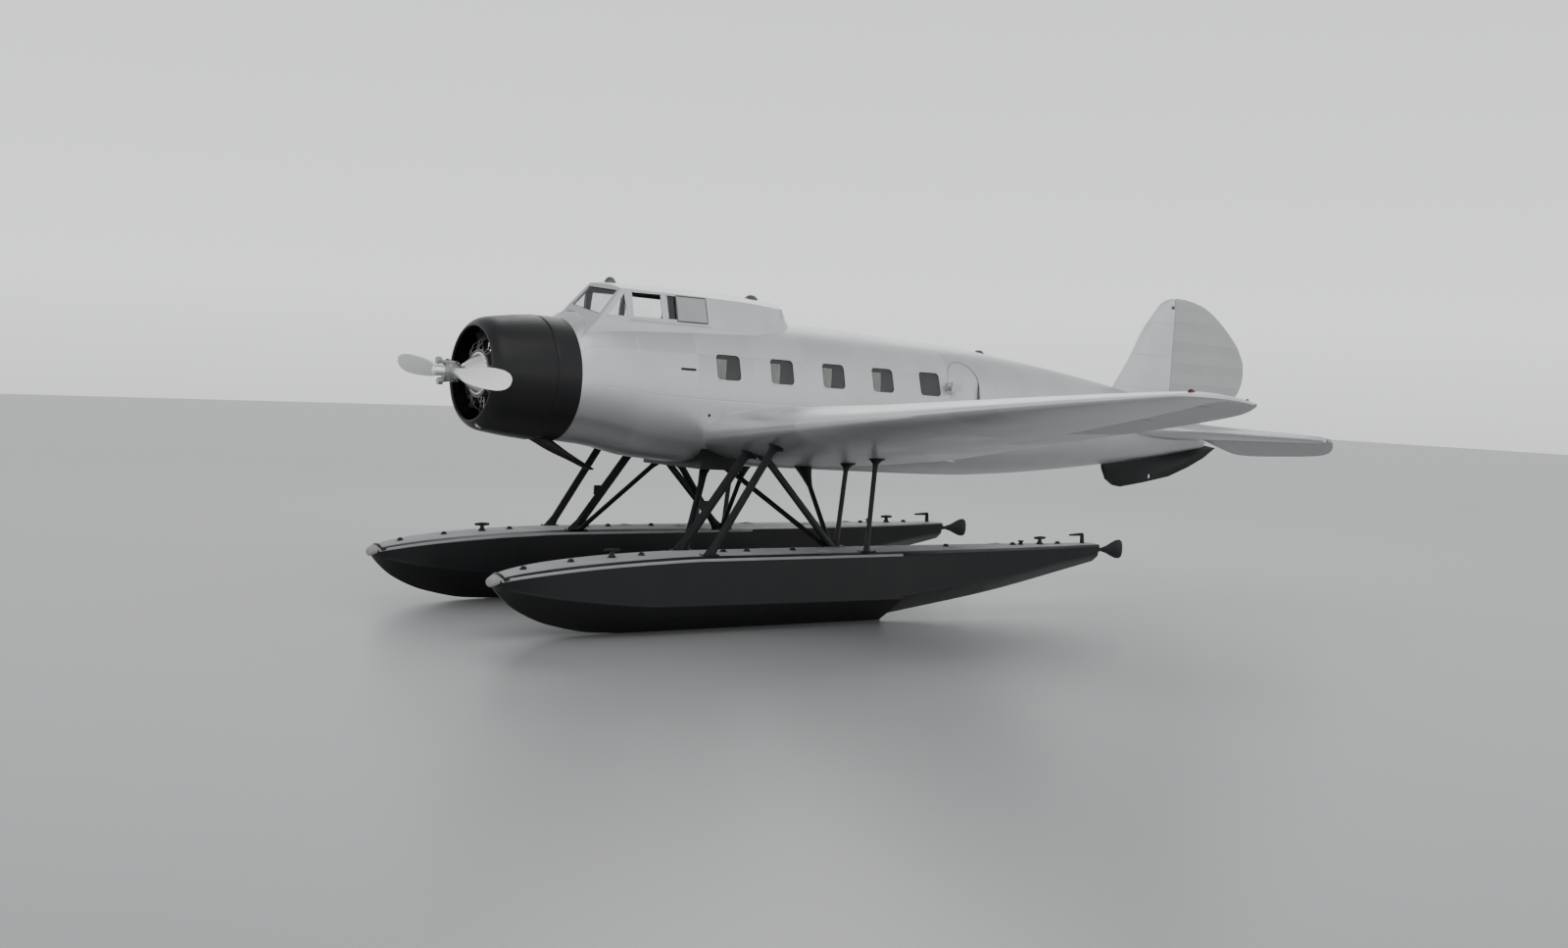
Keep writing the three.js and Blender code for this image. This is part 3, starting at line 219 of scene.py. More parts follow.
FIRST_FRAME = 2.522          # where the seams across the body are counted from
STATION_STEP = 0.09
FUSELAGE_POINTS = 80
WELL = {"front": 1.42, "back": 2.95, "half": 0.49, "floor": 0.02, "over": 1.0}
DOOR = {"front": 6.33, "back": 6.87, "sill": -0.43, "spring": 0.35, "top": 0.59, "recess": 0.062,
        "leaf": 0.046}
DOOR_GAP, DOOR_SWEEP = 0.006, 0.015


def fair(rows, x):
    """A table's columns at x, on a curve through its rows that never overshoots them."""
    xs = [row[0] for row in rows]
    x = min(max(x, xs[0]), xs[-1])
    k = 0
    while k < len(xs) - 2 and x > xs[k + 1]:
        k += 1
    result = []
    for column in range(1, len(rows[0])):
        ys = [row[column] for row in rows]
        slopes = [(ys[i + 1] - ys[i]) / (xs[i + 1] - xs[i]) for i in range(len(xs) - 1)]

        def tangent(i):
            if i == 0 or i == len(xs) - 1:
                return slopes[min(i, len(slopes) - 1)]
            a, b = slopes[i - 1], slopes[i]
            return 0.0 if a * b <= 0 else 2 * a * b / (a + b)

        h = xs[k + 1] - xs[k]
        t = (x - xs[k]) / h
        result.append(
            ys[k] * (1 + 2 * t) * (1 - t) ** 2 + tangent(k) * h * t * (1 - t) ** 2
            + ys[k + 1] * t * t * (3 - 2 * t) + tangent(k + 1) * h * t * t * (t - 1))
    return result


def body_line(x, grow=0.0):
    """Middle height, half heights above and below, half width and the two powers at a station."""
    top_z, bottom_z, half, upper, lower = fair(FUSELAGE, x)
    middle = (top_z + bottom_z) / 2 + (top_z - bottom_z) * WIDEST
    return middle, top_z - middle + grow, middle - bottom_z + grow, half + grow, upper, lower


def side_of_body(x, z, grow=0.0):
    """Half width of the fuselage at a station and a height."""
    middle, above, below, half, upper, lower = body_line(x, grow)
    reach, power = (above, upper) if z >= middle else (below, lower)
    share = min(abs(z - middle) / reach, 1.0)
    return half * max(1 - share ** power, 0.0) ** (1 / power)


def top_of_body(x, y):
    middle, above, _, half, upper, _ = body_line(x)
    return middle + above * max(1 - (abs(y) / half) ** upper, 0.0) ** (1 / upper)


def turns(count):
    """Angles spaced evenly round a full turn."""
    return [i / count * 2 * math.pi for i in range(count)]


def body_ring(x, grow=0.0, count=FUSELAGE_POINTS):
    middle, above, below, half, upper, lower = body_line(x, grow)
    ring = []
    for angle in turns(count):
        c, s = math.cos(angle - math.pi / 2), math.sin(angle - math.pi / 2)
        power, reach = (2 / upper, above) if s >= 0 else (2 / lower, below)
        ring.append((x, math.copysign(abs(c) ** power * half, c),
                     middle + math.copysign(abs(s) ** power * reach, s)))
    return ring


def spaced(start, end, step):
    count = max(1, math.ceil((end - start) / step))
    return [start + (end - start) * i / count for i in range(count + 1)]


def mesh_piece(name, points, faces, where=AIRFRAME, uvs=None, crease=35):
    """A named mesh, smooth but for its sharp edges. uvs gives one pair for each corner of each face."""
    mesh = bpy.data.meshes.new(name)
    mesh.from_pydata([tuple(where @ Vector(p)) for p in points], [], faces)
    if uvs is not None:
        layer = mesh.uv_layers.new(name="metres")
        layer.data.foreach_set("uv", [value for pair in uvs for value in pair])
    mesh.validate()
    piece = put(name, mesh)
    soften(piece, crease)
    return piece


def soften(piece, crease=35):
    piece.data.polygons.foreach_set("use_smooth", [True] * len(piece.data.polygons))
    piece.data.set_sharp_from_angle(angle=math.radians(crease))


def skin(name, rings, where=AIRFRAME, uv=None, caps=True, crease=35):
    """A surface over rings of equal counts. uv gives a pair in metres from (ring, place in ring, point)."""
    count = len(rings[0])
    points = [p for ring in rings for p in ring]
    faces, uvs = [], []
    uv = uv or (lambda i, j, p: (p[0], p[1]))
    for i in range(len(rings) - 1):
        for j in range(count):
            k = (j + 1) % count
            faces.append((i * count + j, i * count + k, (i + 1) * count + k, (i + 1) * count + j))
            uvs += [uv(i, j, rings[i][j]), uv(i, j + 1, rings[i][k]), uv(i + 1, j + 1, rings[i + 1][k]),
                    uv(i + 1, j, rings[i + 1][j])]
    if caps:
        for i, order in ((0, -1), (len(rings) - 1, 1)):
            face = list(range(i * count, (i + 1) * count))[::order]
            faces.append(tuple(face))
            uvs += [uv(i, at - i * count, points[at]) for at in face]
    piece = mesh_piece(name, points, faces, where, uvs, crease)
    outward(piece)
    return piece


def outward(piece):
    """Turns a closed mesh's faces to point out."""
    made = bmesh.new()
    made.from_mesh(piece.data)
    bmesh.ops.recalc_face_normals(made, faces=made.faces)
    made.to_mesh(piece.data)
    made.free()


def shape_of(piece):
    """A piece's mesh as its modifiers leave it."""
    return bpy.data.meshes.new_from_object(piece.evaluated_get(bpy.context.evaluated_depsgraph_get()))


def carve(piece, tool, operation="DIFFERENCE", solver="EXACT"):
    """Cuts a piece with a tool mesh, which is then thrown away. The cut faces take the tool's finish."""
    modifier = piece.modifiers.new("carve", "BOOLEAN")
    modifier.operation, modifier.object, modifier.solver = operation, tool, solver
    if solver == "EXACT":
        modifier.material_mode = "TRANSFER"
    shape = shape_of(piece)
    piece.modifiers.clear()
    old, piece.data = piece.data, shape
    bpy.data.meshes.remove(old)
    bpy.data.objects.remove(tool)
    piece.data.name = piece.name
    for slot in reversed(range(len(shape.materials))):
        if shape.materials[slot] is None:
            shape.materials.pop(index=slot)
    soften(piece)


def block(name, low, high):
    """A plain box, used only as a cutting tool."""
    (x0, y0, z0), (x1, y1, z1) = low, high
    rings = [[(x, y0, z0), (x, y1, z0), (x, y1, z1), (x, y0, z1)] for x in (x0, x1)]
    return skin(name, rings)


def fit(piece, body="airframe", made=None, stands_for=None):
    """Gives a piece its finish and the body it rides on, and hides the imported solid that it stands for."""
    if made:
        piece.data.materials.append(made)
    if stands_for:
        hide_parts(stands_for)
    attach(piece, body)


def rivets(made, across, along, offset, pitch, radius):
    """Rows of round heads on both sides of a seam, 1 on a head and 0 off it."""
    away = math_node(made, "SUBTRACT", across, offset)
    beside = math_node(made, "PINGPONG", along, pitch / 2)
    square = math_node(made, "ADD", math_node(made, "MULTIPLY", away, away),
                       math_node(made, "MULTIPLY", beside, beside))
    return ramp(made, math_node(made, "SQRT", square), radius * 0.55, radius, 1.0, 0.0)


def metre_map(made):
    """The two directions of the map that is laid out in metres."""
    place = node(made, "ShaderNodeUVMap", uv_map="metres").outputs[0]
    return node(made, "ShaderNodeSeparateXYZ", {0: place}).outputs[:2]


def seam_heights(made, along, around, panel, seam_width, rivet, heads):
    """Seams and rivet heads along both directions of the map: all of them added up, and one by one."""
    heights = []
    for run, other, spacing in ((along, around, panel[0]), (around, along, panel[1])):
        from_seam = math_node(made, "PINGPONG", run, spacing / 2)
        heights.append(ramp(made, from_seam, 0.0, seam_width, -1.0, 0.0))
        heights.append(math_node(made, "MULTIPLY", rivets(made, from_seam, other, *rivet), heads))
    total = heights[0]
    for height in heights[1:]:
        total = math_node(made, "ADD", total, height)
    return total, heights


LAP_WIDTH, LAP_RIVET, LAP_HEADS = 0.006, (0.03, 0.045, 0.008), 0.3
SHEET_METALLIC = 0.82


def sheet_metal(name, colour, panel, rough=0.36, waves=0.3, stretch=(1, 1, 1)):
    """Lacquered aluminium sheet: lap seams along both directions of the map, rivets beside them, slightly
    different tone and gloss from sheet to sheet, shallow waves between frames and a little weather."""
    made, shader = finish(name)
    along, around = metre_map(made)
    total, heights = seam_heights(made, along, around, panel, LAP_WIDTH, LAP_RIVET, LAP_HEADS)
    wave = math_node(made, "MULTIPLY", mottle(made, 2.2, 0.0, stretch), waves)
    relief(made, shader, math_node(made, "ADD", total, wave), 0.0012)
    cells = [math_node(made, "FLOOR", math_node(made, "DIVIDE", run, spacing))
             for run, spacing in ((along, panel[0]), (around, panel[1]))]
    cell = node(made, "ShaderNodeCombineXYZ", {0: cells[0], 1: cells[1]}).outputs[0]
    sheet = node(made, "ShaderNodeTexWhiteNoise", {0: cell}, noise_dimensions="3D").outputs[0]
    weather = mottle(made, 1.7, 6.0)
    factor = math_node(made, "ADD", math_node(made, "MULTIPLY", sheet, 0.45),
                       math_node(made, "MULTIPLY", weather, 0.55))
    seams = ramp(made, math_node(made, "MINIMUM", heights[0], heights[2]), -1.0, 0.0, 0.72, 1.0)
    tint(made, shader, colour, math_node(made, "MULTIPLY", factor, seams), 0.84, 1.12)
    rough_node = ramp(made, math_node(made, "ADD", sheet, mottle(made, 9.0, 4.0)), 0.4, 1.6, rough - 0.06,
                      rough + 0.09)
    made.node_tree.links.new(rough_node, shader.inputs["Roughness"])
    shader.inputs["Metallic"].default_value = SHEET_METALLIC
    return made


body_metal = sheet_metal("silver_sheet_fuselage", (0.60, 0.61, 0.62), (0.769, GIRTH / 12))
well_finish, _ = coat("cockpit_lining", (0.075, 0.085, 0.08), (8.0,), 0.8, 1.2, 0.7)

stations = spaced(FUSELAGE[0][0], FUSELAGE[-1][0], STATION_STEP)
fuselage = skin("fuselage_skin", [body_ring(x) for x in stations],
                uv=lambda i, j, p: (p[0] - FIRST_FRAME, j / FUSELAGE_POINTS * GIRTH))
fuselage.data.materials.append(body_metal)
well_tool = block("well_tool", (WELL["front"], -WELL["half"], WELL["floor"]),
                  (WELL["back"], WELL["half"], WELL["over"]))
well_tool.data.materials.append(well_finish)
carve(fuselage, well_tool)


def door_outline(inset, rear_inset, steps=20):
    """The arched doorway in side view."""
    x0, x1 = DOOR["front"] + inset, DOOR["back"] - rear_inset
    z0, z1 = DOOR["sill"] + inset, DOOR["spring"]
    rise = DOOR["top"] - inset - z1
    arch = [((x0 + x1) / 2 + math.cos(i / steps * math.pi) * (x1 - x0) / 2,
             z1 + math.sin(i / steps * math.pi) * rise)
            for i in range(steps + 1)]
    return [(x0, z0), (x1, z0), *arch]


doorway = door_outline(0, 0)
jamb = skin("doorway_tool", [[(x, -side_of_body(x, z) - 0.2, z) for x, z in doorway],
                             [(x, -side_of_body(x, z, -DOOR["recess"]), z) for x, z in doorway]])
jamb.data.materials.append(body_metal)
carve(fuselage, jamb)
fit(fuselage, stands_for="fuselage")

# Cabin windows: five a side, set in the sheet in rounded frames, the forward four each with a
# curtain drawn to the front. The panes sit a little below the skin, in front of the dark cabin.
WINDOWS = {"count": 5, "curtained": 4, "first": 2.935, "pitch": 0.769, "height": 0.272, "wide": 0.355,
           "high": 0.315, "corner": 0.06}
WINDOW_POCKET, GLASS_DEPTH, GLASS_THICK = 0.042, 0.006, 0.003
CURTAIN = {"depth": 0.022, "pleat": 0.004, "thick": 0.002, "wide": 0.13, "flare": 0.05, "columns": 30}


def rounded_box(cx, cz, wide, high, corner, steps=6):
    """An outline in side view with rounded corners."""
    outline = []
    for turn_index, (sx, sz) in enumerate(((1, 1), (-1, 1), (-1, -1), (1, -1))):
        for i in range(steps + 1):
            angle = (turn_index + i / steps) * math.pi / 2
            outline.append((cx + sx * (wide / 2 - corner) + math.cos(angle) * corner,
                            cz + sz * (high / 2 - corner) + math.sin(angle) * corner))
    return outline


def slab_rings(outline, surface, sign, outer, inner, steps=5):
    """Rings of a slab between two depths under a surface, from an outline in side view."""
    cx = sum(x for x, _ in outline) / len(outline)
    cz = sum(z for _, z in outline) / len(outline)
    shares = [0.02 + 0.98 * i / steps for i in range(steps + 1)]
    rings = []
    for depth, order in ((outer, shares), (inner, shares[::-1])):
        for share in order:
            ring = [(cx + (x - cx) * share, cz + (z - cz) * share) for x, z in outline]
            rings.append([(x, sign * surface(x, z, depth), z) for x, z in ring])
    return rings


def rim_rings(outline, surface, sign, wide, proud, sunk=0.004):
    """Rings of a flat strip laid round an outline, half outside it and half inside."""
    count = len(outline)
    rings = []
    for i in range(count + 1):
        (x0, z0), (x, z), (x1, z1) = (outline[(i + k) % count] for k in (-1, 0, 1))
        dx, dz = x1 - x0, z1 - z0
        length = math.hypot(dx, dz) or 1.0
        nx, nz = dz / length * wide / 2, -dx / length * wide / 2
        corners = [(x + nx * out, z + nz * out, depth) for out, depth in (
            (-1, -sunk), (-1, proud * 0.6), (-0.5, proud), (0.5, proud), (1, proud * 0.6), (1, -sunk))]
        rings.append([(a, sign * surface(a, b, depth), b) for a, b, depth in corners])
    return rings


def glass_finish(name, colour, rough, clear=1.0):
    made, shader = coat(name, colour, (4.0,), 0.9, 1.1, rough)
    shader.inputs["Transmission Weight"].default_value = clear
    shader.inputs["IOR"].default_value = 1.45
    return made


glass = glass_finish("window_glass", (0.80, 0.83, 0.83), 0.03)
cabin_dark, _ = coat("cabin_shadow", (0.018, 0.019, 0.02), (5.0,), 0.6, 1.4, 0.8)
curtain_cloth, _ = coat("curtain_cloth", (0.52, 0.50, 0.46), (30.0, 2.0, (1, 1, 0.08)), 0.6, 1.25, 0.9)
worn_steel, _ = coat("worn_steel_fittings", (0.13, 0.135, 0.14), (16.0, 5.0), 0.7, 1.3, 0.42, 0.75,
                     ((90.0, 2.0), 0.0002))
frame_metal, _ = coat("window_frame_metal", (0.62, 0.63, 0.64), (14.0,), 0.85, 1.1, 0.36, 0.9)

window_outlines = [
    (sign, rounded_box(WINDOWS["first"] + number * WINDOWS["pitch"], WINDOWS["height"], WINDOWS["wide"],
                       WINDOWS["high"], WINDOWS["corner"]))
    for sign in (-1, 1) for number in range(WINDOWS["count"])
]


def gather(name, many, where=AIRFRAME, caps=True):
    """One mesh from several sets of rings."""
    points, faces = [], []
    for rings in many:
        base, count = len(points), len(rings[0])
        points += [p for ring in rings for p in ring]
        for i in range(len(rings) - 1):
            for j in range(count):
                k = (j + 1) % count
                faces.append((base + i * count + j, base + i * count + k, base + (i + 1) * count + k,
                              base + (i + 1) * count + j))
        if caps:
            faces.append(tuple(base + j for j in reversed(range(count))))
            faces.append(tuple(base + (len(rings) - 1) * count + j for j in range(count)))
    piece = mesh_piece(name, points, faces, where)
    outward(piece)
    return piece


pockets = gather("window_pocket_tool", [
    [[(x, sign * (side_of_body(x, z) + 0.1), z) for x, z in outline],
     [(x, sign * side_of_body(x, z, -WINDOW_POCKET), z) for x, z in outline]]
    for sign, outline in window_outlines])
pockets.data.materials.append(cabin_dark)
carve(fuselage, pockets)

panes = gather("cabin_window_panes",
               [slab_rings(outline, side_of_body, sign, -GLASS_DEPTH, -GLASS_DEPTH - GLASS_THICK)
                for sign, outline in window_outlines])
fit(panes, made=glass)
rims = gather("cabin_window_frames", [rim_rings(outline, side_of_body, sign, 0.020, 0.003)
                                      for sign, outline in window_outlines], caps=False)
fit(rims, made=frame_metal)


def curtain_rings(sign, number):
    """A gathered curtain over the forward part of a window, its pleats a few millimetres deep."""
    cx = WINDOWS["first"] + number * WINDOWS["pitch"]
    x0 = cx - WINDOWS["wide"] / 2 + 0.004
    rings = []
    for share in (0.0, 0.4, 0.8):
        z = WINDOWS["height"] + (share - 0.5) * (WINDOWS["high"] - 0.01)
        x1 = x0 + CURTAIN["wide"] + CURTAIN["flare"] * share
        front = []
        for i in range(CURTAIN["columns"] + 1):
            x = x0 + (x1 - x0) * i / CURTAIN["columns"]
            pleat = CURTAIN["pleat"] * math.sin(i / CURTAIN["columns"] * 8 * math.pi + number)
            front.append((x, sign * side_of_body(x, z, -CURTAIN["depth"] + pleat), z))
        back = [(x, y - sign * CURTAIN["thick"], z) for x, y, z in reversed(front)]
        rings.append(front + back)
    return rings


curtains = gather("cabin_curtains", [curtain_rings(sign, number) for sign in (-1, 1)
                                     for number in range(WINDOWS["curtained"])])
fit(curtains, made=curtain_cloth)

# Cabin door: an arched leaf in its doorway behind the last port window, hung on two forward
# hinges whose straps stand clear of the skin, with a lever handle at the rear edge.
DOOR_HINGE = {"x": 6.312, "y": -0.829, "pin": 0.008, "barrel": 0.016, "half": 0.045,
              "heights": (-0.23, 0.25), "gap": 0.0003, "ear": 0.024, "root": -0.70}
STRAP_ROOT, STRAP_TIP, STRAP_SKIN = 0.034, 0.15, -0.748
HANDLE = {"x": 6.80, "z": -0.02, "boss": 0.03, "stem": 0.009, "tip": 0.006, "long": 0.105}


def rod_rings(a, b, radius, end_radius=None, sides=20, rounding=0.0):
    """Rings of a round bar or cone between two points, its ends softened by a small rounding."""
    a, b = Vector(a), Vector(b)
    axis = (b - a).normalized()
    side = axis.orthogonal().normalized()
    other = axis.cross(side)
    end_radius = radius if end_radius is None else end_radius
    if rounding:
        rows = [(a, radius - rounding), (a + axis * rounding, radius), (b - axis * rounding, end_radius),
                (b, end_radius - rounding)]
    else:
        rows = [(a, radius), (b, end_radius)]
    return [[tuple(centre + (side * math.cos(t) + other * math.sin(t)) * r) for t in turns(sides)]
            for centre, r in rows]


def box_rings(x0, x1, y0, y1, z0, z1):
    return [[(x, y0, z0), (x, y1, z0), (x, y1, z1), (x, y0, z1)] for x in (x0, x1)]


def hinge_rings(part):
    h = DOOR_HINGE
    found = []
    for z in h["heights"]:
        if part == "fixed":
            for end in (-1, 1):
                near, far = z + end * (h["half"] + h["gap"]), z + end * (h["half"] + h["ear"])
                found.append(box_rings(h["x"] - h["barrel"], h["x"] + h["barrel"], h["y"] - h["barrel"],
                                       h["root"], min(near, far), max(near, far)))
            found.append(rod_rings((h["x"], h["y"], z - h["half"] - 0.026),
                                   (h["x"], h["y"], z + h["half"] + 0.026), h["pin"], rounding=0.002))
        else:
            low, high = z - h["half"], z + h["half"]
            found.append(box_rings(h["x"], h["x"] + STRAP_TIP, h["y"] - 0.012, h["y"] + 0.008, low, high))
            found.append(box_rings(h["x"] + STRAP_ROOT, h["x"] + STRAP_TIP, h["y"], STRAP_SKIN, low, high))
            found.append(rod_rings((h["x"], h["y"], low), (h["x"], h["y"], high), h["barrel"],
                                   rounding=0.003))
    return found


door_metal = sheet_metal("silver_sheet_door", (0.60, 0.61, 0.62), (0.9, 1.4))
leaf_outline = door_outline(DOOR_GAP, DOOR_SWEEP)
leaf_rings = slab_rings(leaf_outline, side_of_body, -1, 0.0, -DOOR["leaf"], 7)
door = skin("cabin_door_leaf", leaf_rings, uv=lambda i, j, p: (p[0] - DOOR["front"] + 0.18, p[2] + 0.62))
fit(door, "cabin_door", door_metal, "cabin_door")
door_rim = gather("cabin_door_edge_strip",
                  [rim_rings(door_outline(0.016, 0.026), side_of_body, -1, 0.016, 0.0022)], caps=False)
fit(door_rim, "cabin_door", door_metal)
fit(gather("cabin_door_hinge_straps", hinge_rings("leaf")), "cabin_door", door_metal)
fit(gather("cabin_door_hinge_lugs", hinge_rings("fixed")), made=door_metal)
x, z = HANDLE["x"], HANDLE["z"]
y = -side_of_body(x, z)
handle = gather("cabin_door_handle", [
    rod_rings((x, y + 0.01, z), (x, y - 0.004, z), HANDLE["boss"], rounding=0.002),
    rod_rings((x, y, z), (x, y - 0.034, z), HANDLE["stem"], rounding=0.002),
    rod_rings((x, y - 0.028, z + 0.004), (x - HANDLE["long"], y - 0.031, z - 0.004), HANDLE["stem"],
              HANDLE["tip"], rounding=0.003)])
fit(handle, "cabin_door", worn_steel)

# Canopy: a pressed and welded sheet shell round the cockpit, a vee windscreen in front and
# side windows in flat frames. It is hollow over the cockpit and runs aft as a long fairing.
CANOPY = [
    # x, half width at the sill, half width at the roof edge, roof edge z, crown z
    (1.000, 0.520, 0.430, 1.010, 1.090),
    (1.640, 0.535, 0.445, 1.085, 1.160),
    (2.750, 0.540, 0.440, 1.080, 1.168),
    (3.400, 0.520, 0.400, 1.068, 1.155),
    (3.930, 0.440, 0.330, 1.035, 1.128),
    (4.110, 0.330, 0.220, 0.850, 0.885),
]
CANOPY_FOOT, CANOPY_SILL = 0.45, 0.70
CANOPY_SKIN = 0.026
SCREEN_BASE, SCREEN_TOP = Vector((1.150, 0, 0.830)), Vector((1.440, 0, 1.140))
SCREEN_SIDE = Vector((1.270, 0.500, 0.700))
SIDE_WINDOWS = {
    "quarter": [(1.390, 0.758), (1.668, 0.758), (1.640, 1.052)],
    "front": [(1.735, 0.762), (2.140, 0.770), (2.128, 1.066), (1.722, 1.060)],
    "rear": [(2.205, 0.772), (2.740, 0.778), (2.730, 1.062), (2.192, 1.066)],
}
SCREEN_PANE = [(0.022, 0.872), (0.462, 0.768), (0.410, 1.058), (0.022, 1.098)]
WEDGE = {"half": 0.7, "back": 4.6, "heights": (0.3, 1.4)}      # larger all round than the canopy


def canopy_row(x):
    """The canopy's columns at x, on straight lines between its rows."""
    k = 0
    while k < len(CANOPY) - 2 and x > CANOPY[k + 1][0]:
        k += 1
    t = (x - CANOPY[k][0]) / (CANOPY[k + 1][0] - CANOPY[k][0])
    return [a + t * (b - a) for a, b in zip(CANOPY[k][1:], CANOPY[k + 1][1:])]


def canopy_ring(x, inset, roof_steps=9):
    sill, edge, edge_z, crown = CANOPY[-1][1:] if x >= CANOPY[-1][0] else canopy_row(x)
    sill, edge, edge_z, crown = sill - inset, edge - inset, edge_z - inset * 0.5, crown - inset
    side = [(x, sill, CANOPY_FOOT), (x, sill, CANOPY_SILL)]
    for i in range(roof_steps + 1):
        share = 1 - i / roof_steps
        side.append((x, edge * share, edge_z + (crown - edge_z) * (1 - share * share)))
    return side + [(a, -y, z) for a, y, z in reversed(side[:-1])]


def canopy_skin(name, inset):
    xs = [CANOPY[0][0], *spaced(CANOPY[1][0], CANOPY[2][0], 0.3),
          *spaced(CANOPY[2][0], CANOPY[3][0], 0.3)[1:],
          *spaced(CANOPY[3][0], CANOPY[4][0], 0.12)[1:], 3.98, 4.05, CANOPY[-1][0]]
    return skin(name, [canopy_ring(x, inset) for x in xs], uv=lambda i, j, p: (p[0] + 0.1, p[2] + abs(p[1])))


def screen_wedge(name, inset):
    across, up = SCREEN_SIDE - SCREEN_BASE, SCREEN_TOP - SCREEN_BASE
    normal = up.cross(across).normalized()
    if normal.x < 0:
        normal.negate()

    def plane(y, z):
        return SCREEN_BASE.x + inset / normal.x - (normal.y * y + normal.z * (z - SCREEN_BASE.z)) / normal.x

    half, back = WEDGE["half"], WEDGE["back"]
    return skin(name, [[(plane(0, z), 0, z), (plane(half, z), half, z), (back, half, z), (back, -half, z),
                        (plane(half, z), -half, z)] for z in WEDGE["heights"]])


def side_of_canopy(x, z, grow=0.0):
    sill, edge, edge_z, _ = canopy_row(x)
    return sill + (edge - sill) * max(0.0, (z - CANOPY_SILL) / (edge_z - CANOPY_SILL)) + grow


def filled(outline, per_side=8):
    """The same outline with more points along its straight sides."""
    found = []
    for (x0, z0), (x1, z1) in zip(outline, outline[1:] + outline[:1]):
        found += [(x0 + (x1 - x0) * i / per_side, z0 + (z1 - z0) * i / per_side) for i in range(per_side)]
    return found


canopy_metal = sheet_metal("silver_sheet_canopy", (0.62, 0.63, 0.64), (0.55, 0.62))
canopy = canopy_skin("canopy_shell", 0.0)
canopy.data.materials.append(canopy_metal)
carve(canopy, screen_wedge("wedge_tool", 0.0), "INTERSECT")
hollow = canopy_skin("hollow_tool", CANOPY_SKIN)
carve(hollow, screen_wedge("wedge_tool", CANOPY_SKIN), "INTERSECT")
carve(hollow, block("behind_tool", (0.9, -0.8, 0.3), (WELL["back"], 0.8, 1.4)), "INTERSECT")
hollow.data.materials.clear()
hollow.data.materials.append(well_finish)
carve(canopy, hollow)
openings = [[[(x, y, z) for x, z in outline] for y in (sign * 0.35, sign * 0.65)]
            for sign in (-1, 1) for outline in SIDE_WINDOWS.values()]
openings += [[[(x, sign * y, z) for y, z in SCREEN_PANE] for x in (1.0, 1.8)] for sign in (-1, 1)]
for number, rings in enumerate(openings):
    cutter = gather(f"opening_tool_{number}", [rings])
    cutter.data.materials.append(frame_metal)
    carve(canopy, cutter)
inside = skin("inside_tool", [body_ring(x, 0.0003) for x in spaced(FUSELAGE[0][0], 4.9, 0.12)])
carve(canopy, inside)
fit(canopy, stands_for="canopy_frame")

beads = gather("canopy_window_beads", [rim_rings(filled(outline), side_of_canopy, sign, 0.022, 0.004)
                                       for sign in (-1, 1) for outline in SIDE_WINDOWS.values()], caps=False)
fit(beads, made=frame_metal)
for name in nodes:
    if name.endswith("_pane"):
        nodes[name].data.materials.clear()
        nodes[name].data.materials.append(glass)

# Sliding panes: the port front pane stands slid back over the rear one, in its own flat frame of
# clouded sheet. It runs on a rail under the side windows, and a like rail is on the other side.
SLID_PANE = [(2.335, 0.768), (2.748, 0.772), (2.738, 1.062), (2.325, 1.060)]
RAIL = (1.700, 2.800, 0.728, 0.742)
clouded = glass_finish("clouded_pane_sheet", (0.70, 0.73, 0.73), 0.16, 0.45)
slid = gather("port_front_pane_slid", [slab_rings(filled(SLID_PANE, 4), side_of_canopy, -1, 0.008, 0.004, 3)])
fit(slid, made=clouded)
slid_frame = gather("port_front_pane_frame",
                    [rim_rings(filled(SLID_PANE), side_of_canopy, -1, 0.020, 0.010, 0.003)], caps=False)
fit(slid_frame, made=worn_steel)


def rail_rings(sign):
    x0, x1, low, high = RAIL
    return [[(x, sign * side_of_canopy(x, z, out), z) for z, out in
             ((low, -0.003), (low, 0.009), (low + 0.003, 0.012), (high - 0.003, 0.012), (high, 0.009),
              (high, -0.003))]
            for x in spaced(x0, x1, 0.1)]


fit(gather("canopy_pane_rails", [rail_rings(sign) for sign in (-1, 1)]), made=frame_metal)

# Roof fittings: low pressed ventilators in line on the crown, one above the windscreen, one at
# the aft end of the canopy and one on the fuselage above the door.
ROOF = [
    # x, radius, height
    (1.700, 0.072, 0.070), (3.690, 0.085, 0.055), (7.430, 0.070, 0.045),
]
DOME = [(0.9, 0.30), (0.72, 0.62), (0.48, 0.87), (0.22, 0.98), (0.03, 1.0)]      # shares of radius and height


def crown_height(x, y):
    """Height of the canopy's roof, or of the fuselage aft of it."""
    if x > CANOPY[-1][0]:
        return top_of_body(x, y)
    _, edge, edge_z, crown = fair(CANOPY, x)
    return crown - (crown - edge_z) * (y / edge) ** 2


def dome_rings(x, radius, high, sides=32):
    rows = [(1.0, -0.012), (1.0, 0.008), *((r, share * high) for r, share in DOME)]
    return [[(x + math.cos(t) * radius * r, math.sin(t) * radius * r,
              (crown_height(x + math.cos(t) * radius * r, math.sin(t) * radius * r) if k < 2
               else crown_height(x, 0)) + up)
             for t in turns(sides)] for k, (r, up) in enumerate(rows)]


fit(gather("roof_fittings", [dome_rings(*row) for row in ROOF]), made=worn_steel)

